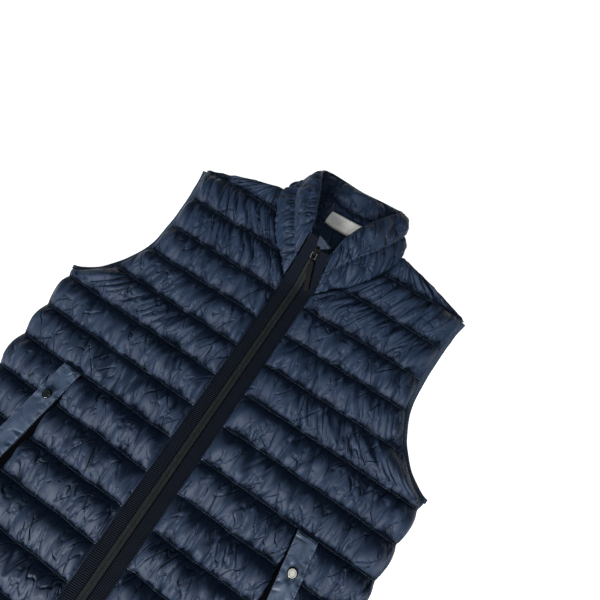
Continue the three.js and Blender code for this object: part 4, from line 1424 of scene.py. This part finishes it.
def lathe(profile, sides, centre):
    """A turned shape from points of radius and height, closed on its axis at both ends."""
    profile = np.array(profile, float)
    turns = turns_of(sides)
    rings = profile[1:-1]
    x = rings[:, :1] * np.cos(turns)
    y = rings[:, :1] * np.sin(turns)
    z = np.broadcast_to(rings[:, 1:], x.shape)
    body = np.stack([x, y, z], axis=2).reshape(-1, 3)
    points = np.concatenate([[[0, 0, profile[0, 1]]], body, [[0, 0, profile[-1, 1]]]]) + centre
    number = 1 + np.arange(len(rings) * sides).reshape(len(rings), sides)
    after = np.roll(number, -1, axis=1)
    quads = ring_faces(number)
    first = np.stack([np.zeros(sides, int), after[0], number[0]], axis=1)
    last = np.stack([np.full(sides, len(points) - 1), number[-1], after[-1]], axis=1)
    return points, [quads, np.concatenate([first, last])]


def make_strip(seed):
    """A pocket's satin strip: it swells between its sewn edges, with folds that run in from both and
    a dip round the snap."""
    y = np.arange(POCKET_BOTTOM_Y, POCKET_TOP_Y + 0.5, 1.1)[:, None]
    across = np.linspace(0, 1, 28)[None, :]
    x = pocket_edge(y) + POCKET_WIDTH * across
    y = y + 0 * x
    under = STRIP_LEVEL + 0 * x
    swell = STRIP_SWELL * np.sin(math.pi * across) ** 0.6
    folds = 1.2 * rough(x.shape, 9, 6, seed) * np.sin(math.pi * across)
    for edge, (pitch, longest, depth, lean) in enumerate(STRIP_FOLDS):
        away = np.abs(edge - across) * POCKET_WIDTH + 0 * x
        folds += pleats(y, away, pitch, longest, depth, seed + 1 + edge, lean)
    snap_x = snap_centre(1)[0]
    from_snap = np.hypot(x - snap_x, y - SNAP_Y)
    round_snap = np.exp(-((from_snap / SNAP_DIP) ** 4))
    turn = np.arctan2(y - SNAP_Y, x - snap_x)
    rays = 0.7 * np.sin(7 * turn + seed) * np.exp(-(((from_snap - SNAP_DIP) / 5) ** 2))
    ends = np.clip(np.minimum(y - POCKET_BOTTOM_Y, POCKET_TOP_Y - y) / 4, 0, 1)
    puffed = (0.6 + swell + folds + rays) * (1 - round_snap) + 2.0 * round_snap
    top = under + 0.5 + np.maximum(0.1, puffed * ends)
    return np.stack([x, y, top], axis=2), np.stack([x, y, under], axis=2)


def snap_centre(side):
    """Foot of a snap, in the middle of its strip."""
    return [side * (pocket_edge(SNAP_Y) + POCKET_WIDTH / 2), SNAP_Y, SNAP_LEVEL]


def pocket_mouth(side):
    """A near-black sheet between a strip and the pocket's open edge: painted shade inside the pocket's mouth.
    """
    y = np.arange(POCKET_BOTTOM_Y + 2, POCKET_TOP_Y - 1, 2.0)[:, None]
    x = pocket_edge(y) + mix(-mouth_width(y), MOUTH["covered"], np.linspace(0, 1, 9)[None, :])
    y = y + 0 * x
    level = front_under(x, y) + MOUTH["level"] + 0.4 * rough(x.shape, 6, 2, SEED + 41)
    faces = [np.stack([side * x, y, level + rise], axis=2) for rise in (MOUTH["wall"], 0)]
    return closed_wall(*faces)


class VEST_OT_pockets(bpy.types.Operator):
    """Make the satin strips beside the pockets, their topstitching and their snaps"""

    bl_idname = "vest.pockets"
    bl_label = "Pockets and snaps"

    def execute(self, context):
        cloth = context.scene.vest_cloth
        satin = bpy.data.materials["blue_satin"]
        steel = bpy.data.materials["nickel_steel"]
        black = bpy.data.materials["black_rubber"]
        sewing = bpy.data.materials["navy_thread"]
        # Near-black matte sheet in each pocket's mouth: painted shade
        dark = finish("mouth_painted_shade", (0.001, 0.001, 0.0015), 0.9, Specular_IOR_Level=0.02)[0]
        for word, side in SIDES.items():
            new_piece("pocket_mouth_" + word, *pocket_mouth(side), dark, "shell")
            top, under = make_strip(SEED + 30 + side)
            raised = top + [0, 0, SEAM_LIFT]
            seams = [sew(raised[2:-2, column], cloth.stitch / MM, *STRIP_SEAM) for column in (1, -2)]
            seams += [sew(raised[row, 1:-1], *STRIP_END_SEAM) for row in (-4, 3)]
            points, faces = join(seams)
            points[:, 0] *= side
            new_piece("welt_seams_" + word, points, faces, sewing, "satin")
            points, faces = closed_wall(top, under)
            points[:, 0] *= side
            name = "pocket_welt_" + word
            piece = new_piece("satin_welt_" + word, points, faces, satin, "satin", [name])
            centre = snap_centre(side)
            # Black base round each cap: the snap's foot, and painted shadow of the gap under the cap
            new_piece("snap_base_and_shadow_" + word, *lathe(SNAP_BASE_AND_SHADOW, 48, centre), black, "steel")
            new_piece("snap_cap_" + word, *lathe(SNAP_CAP, 64, centre), steel, "steel", ["snap_" + word])
        return {"FINISHED"}


class VEST_OT_stage(bpy.types.Operator):
    """Make the floor, the lights and the camera"""

    bl_idname = "vest.stage"
    bl_label = "Studio"

    def execute(self, context):
        scene = context.scene
        floor_mesh = bpy.data.meshes.new("floor")
        ends = (-FLOOR_REACH, FLOOR_REACH)
        corners = [(x, y, 0) for y in ends for x in ends]
        floor_mesh.from_pydata(corners, [], [(0, 1, 3, 2)])
        floor = placed("floor", floor_mesh)
        floor.location.z = -FLOOR_DROP
        white = (1, 1, 1, 1)
        glow = finish("floor_white", (0.6, 0.6, 0.6), 0.9, Emission_Color=white, Emission_Strength=FLOOR_GLOW)
        floor_mesh.materials.append(glow[0])
        camera_data = bpy.data.cameras.new("camera")
        camera_data.lens = LENS
        camera_data.sensor_width = SENSOR
        camera = placed("camera", camera_data)
        axes = Matrix((CAMERA_RIGHT, CAMERA_UP, CAMERA_BACK)).transposed()
        camera.matrix_world = Matrix.Translation(Vector(CAMERA_PLACE)) @ axes.to_4x4()
        scene.camera = camera
        world = bpy.data.worlds.new("studio")
        world.use_nodes = True
        sky = world.node_tree.nodes["Background"].inputs
        sky["Color"].default_value = SKY
        sky["Strength"].default_value = SKY_STRENGTH
        scene.world = world
        for lamp in LAMPS:
            light_data = bpy.data.lights.new(lamp["name"], "AREA")
            light_data.shape = "RECTANGLE"
            light_data.size = lamp["wide"]
            light_data.size_y = lamp["high"]
            light_data.energy = lamp["power"]
            light = placed(lamp["name"], light_data)
            light.location = lamp["place"]
            light.rotation_mode = "QUATERNION"
            light.rotation_quaternion = (-Vector(lamp["place"])).to_track_quat("-Z", "Y")
        scene.view_settings.view_transform = "Standard"
        return {"FINISHED"}


class VEST_PT_panel(bpy.types.Panel):
    """Steps and sizes of the vest"""

    bl_idname = "VEST_PT_panel"
    bl_label = "Quilted vest"
    bl_space_type = "VIEW_3D"
    bl_region_type = "UI"
    bl_category = "Vest"

    def draw(self, context):
        for step in STEPS:
            self.layout.operator(step.bl_idname)


STEPS = (
    VEST_OT_fronts,
    VEST_OT_back,
    VEST_OT_collar,
    VEST_OT_bindings,
    VEST_OT_zip,
    VEST_OT_pockets,
    VEST_OT_stage,
)
CLASSES = (VestCloth, VestColours, *STEPS, VEST_PT_panel)


def register():
    for one in CLASSES:
        bpy.utils.register_class(one)
    bpy.types.Scene.vest_cloth = bpy.props.PointerProperty(type=VestCloth)
    bpy.types.Scene.vest_colours = bpy.props.PointerProperty(type=VestColours)


def unregister():
    del bpy.types.Scene.vest_cloth
    del bpy.types.Scene.vest_colours
    for one in reversed(CLASSES):
        bpy.utils.unregister_class(one)


def main():
    register()
    bpy.ops.vest.fronts()
    bpy.ops.vest.back()
    bpy.ops.vest.collar()
    bpy.ops.vest.bindings()
    bpy.ops.vest.zip()
    bpy.ops.vest.pockets()
    bpy.ops.vest.stage()


if __name__ == "__main__":
    main()
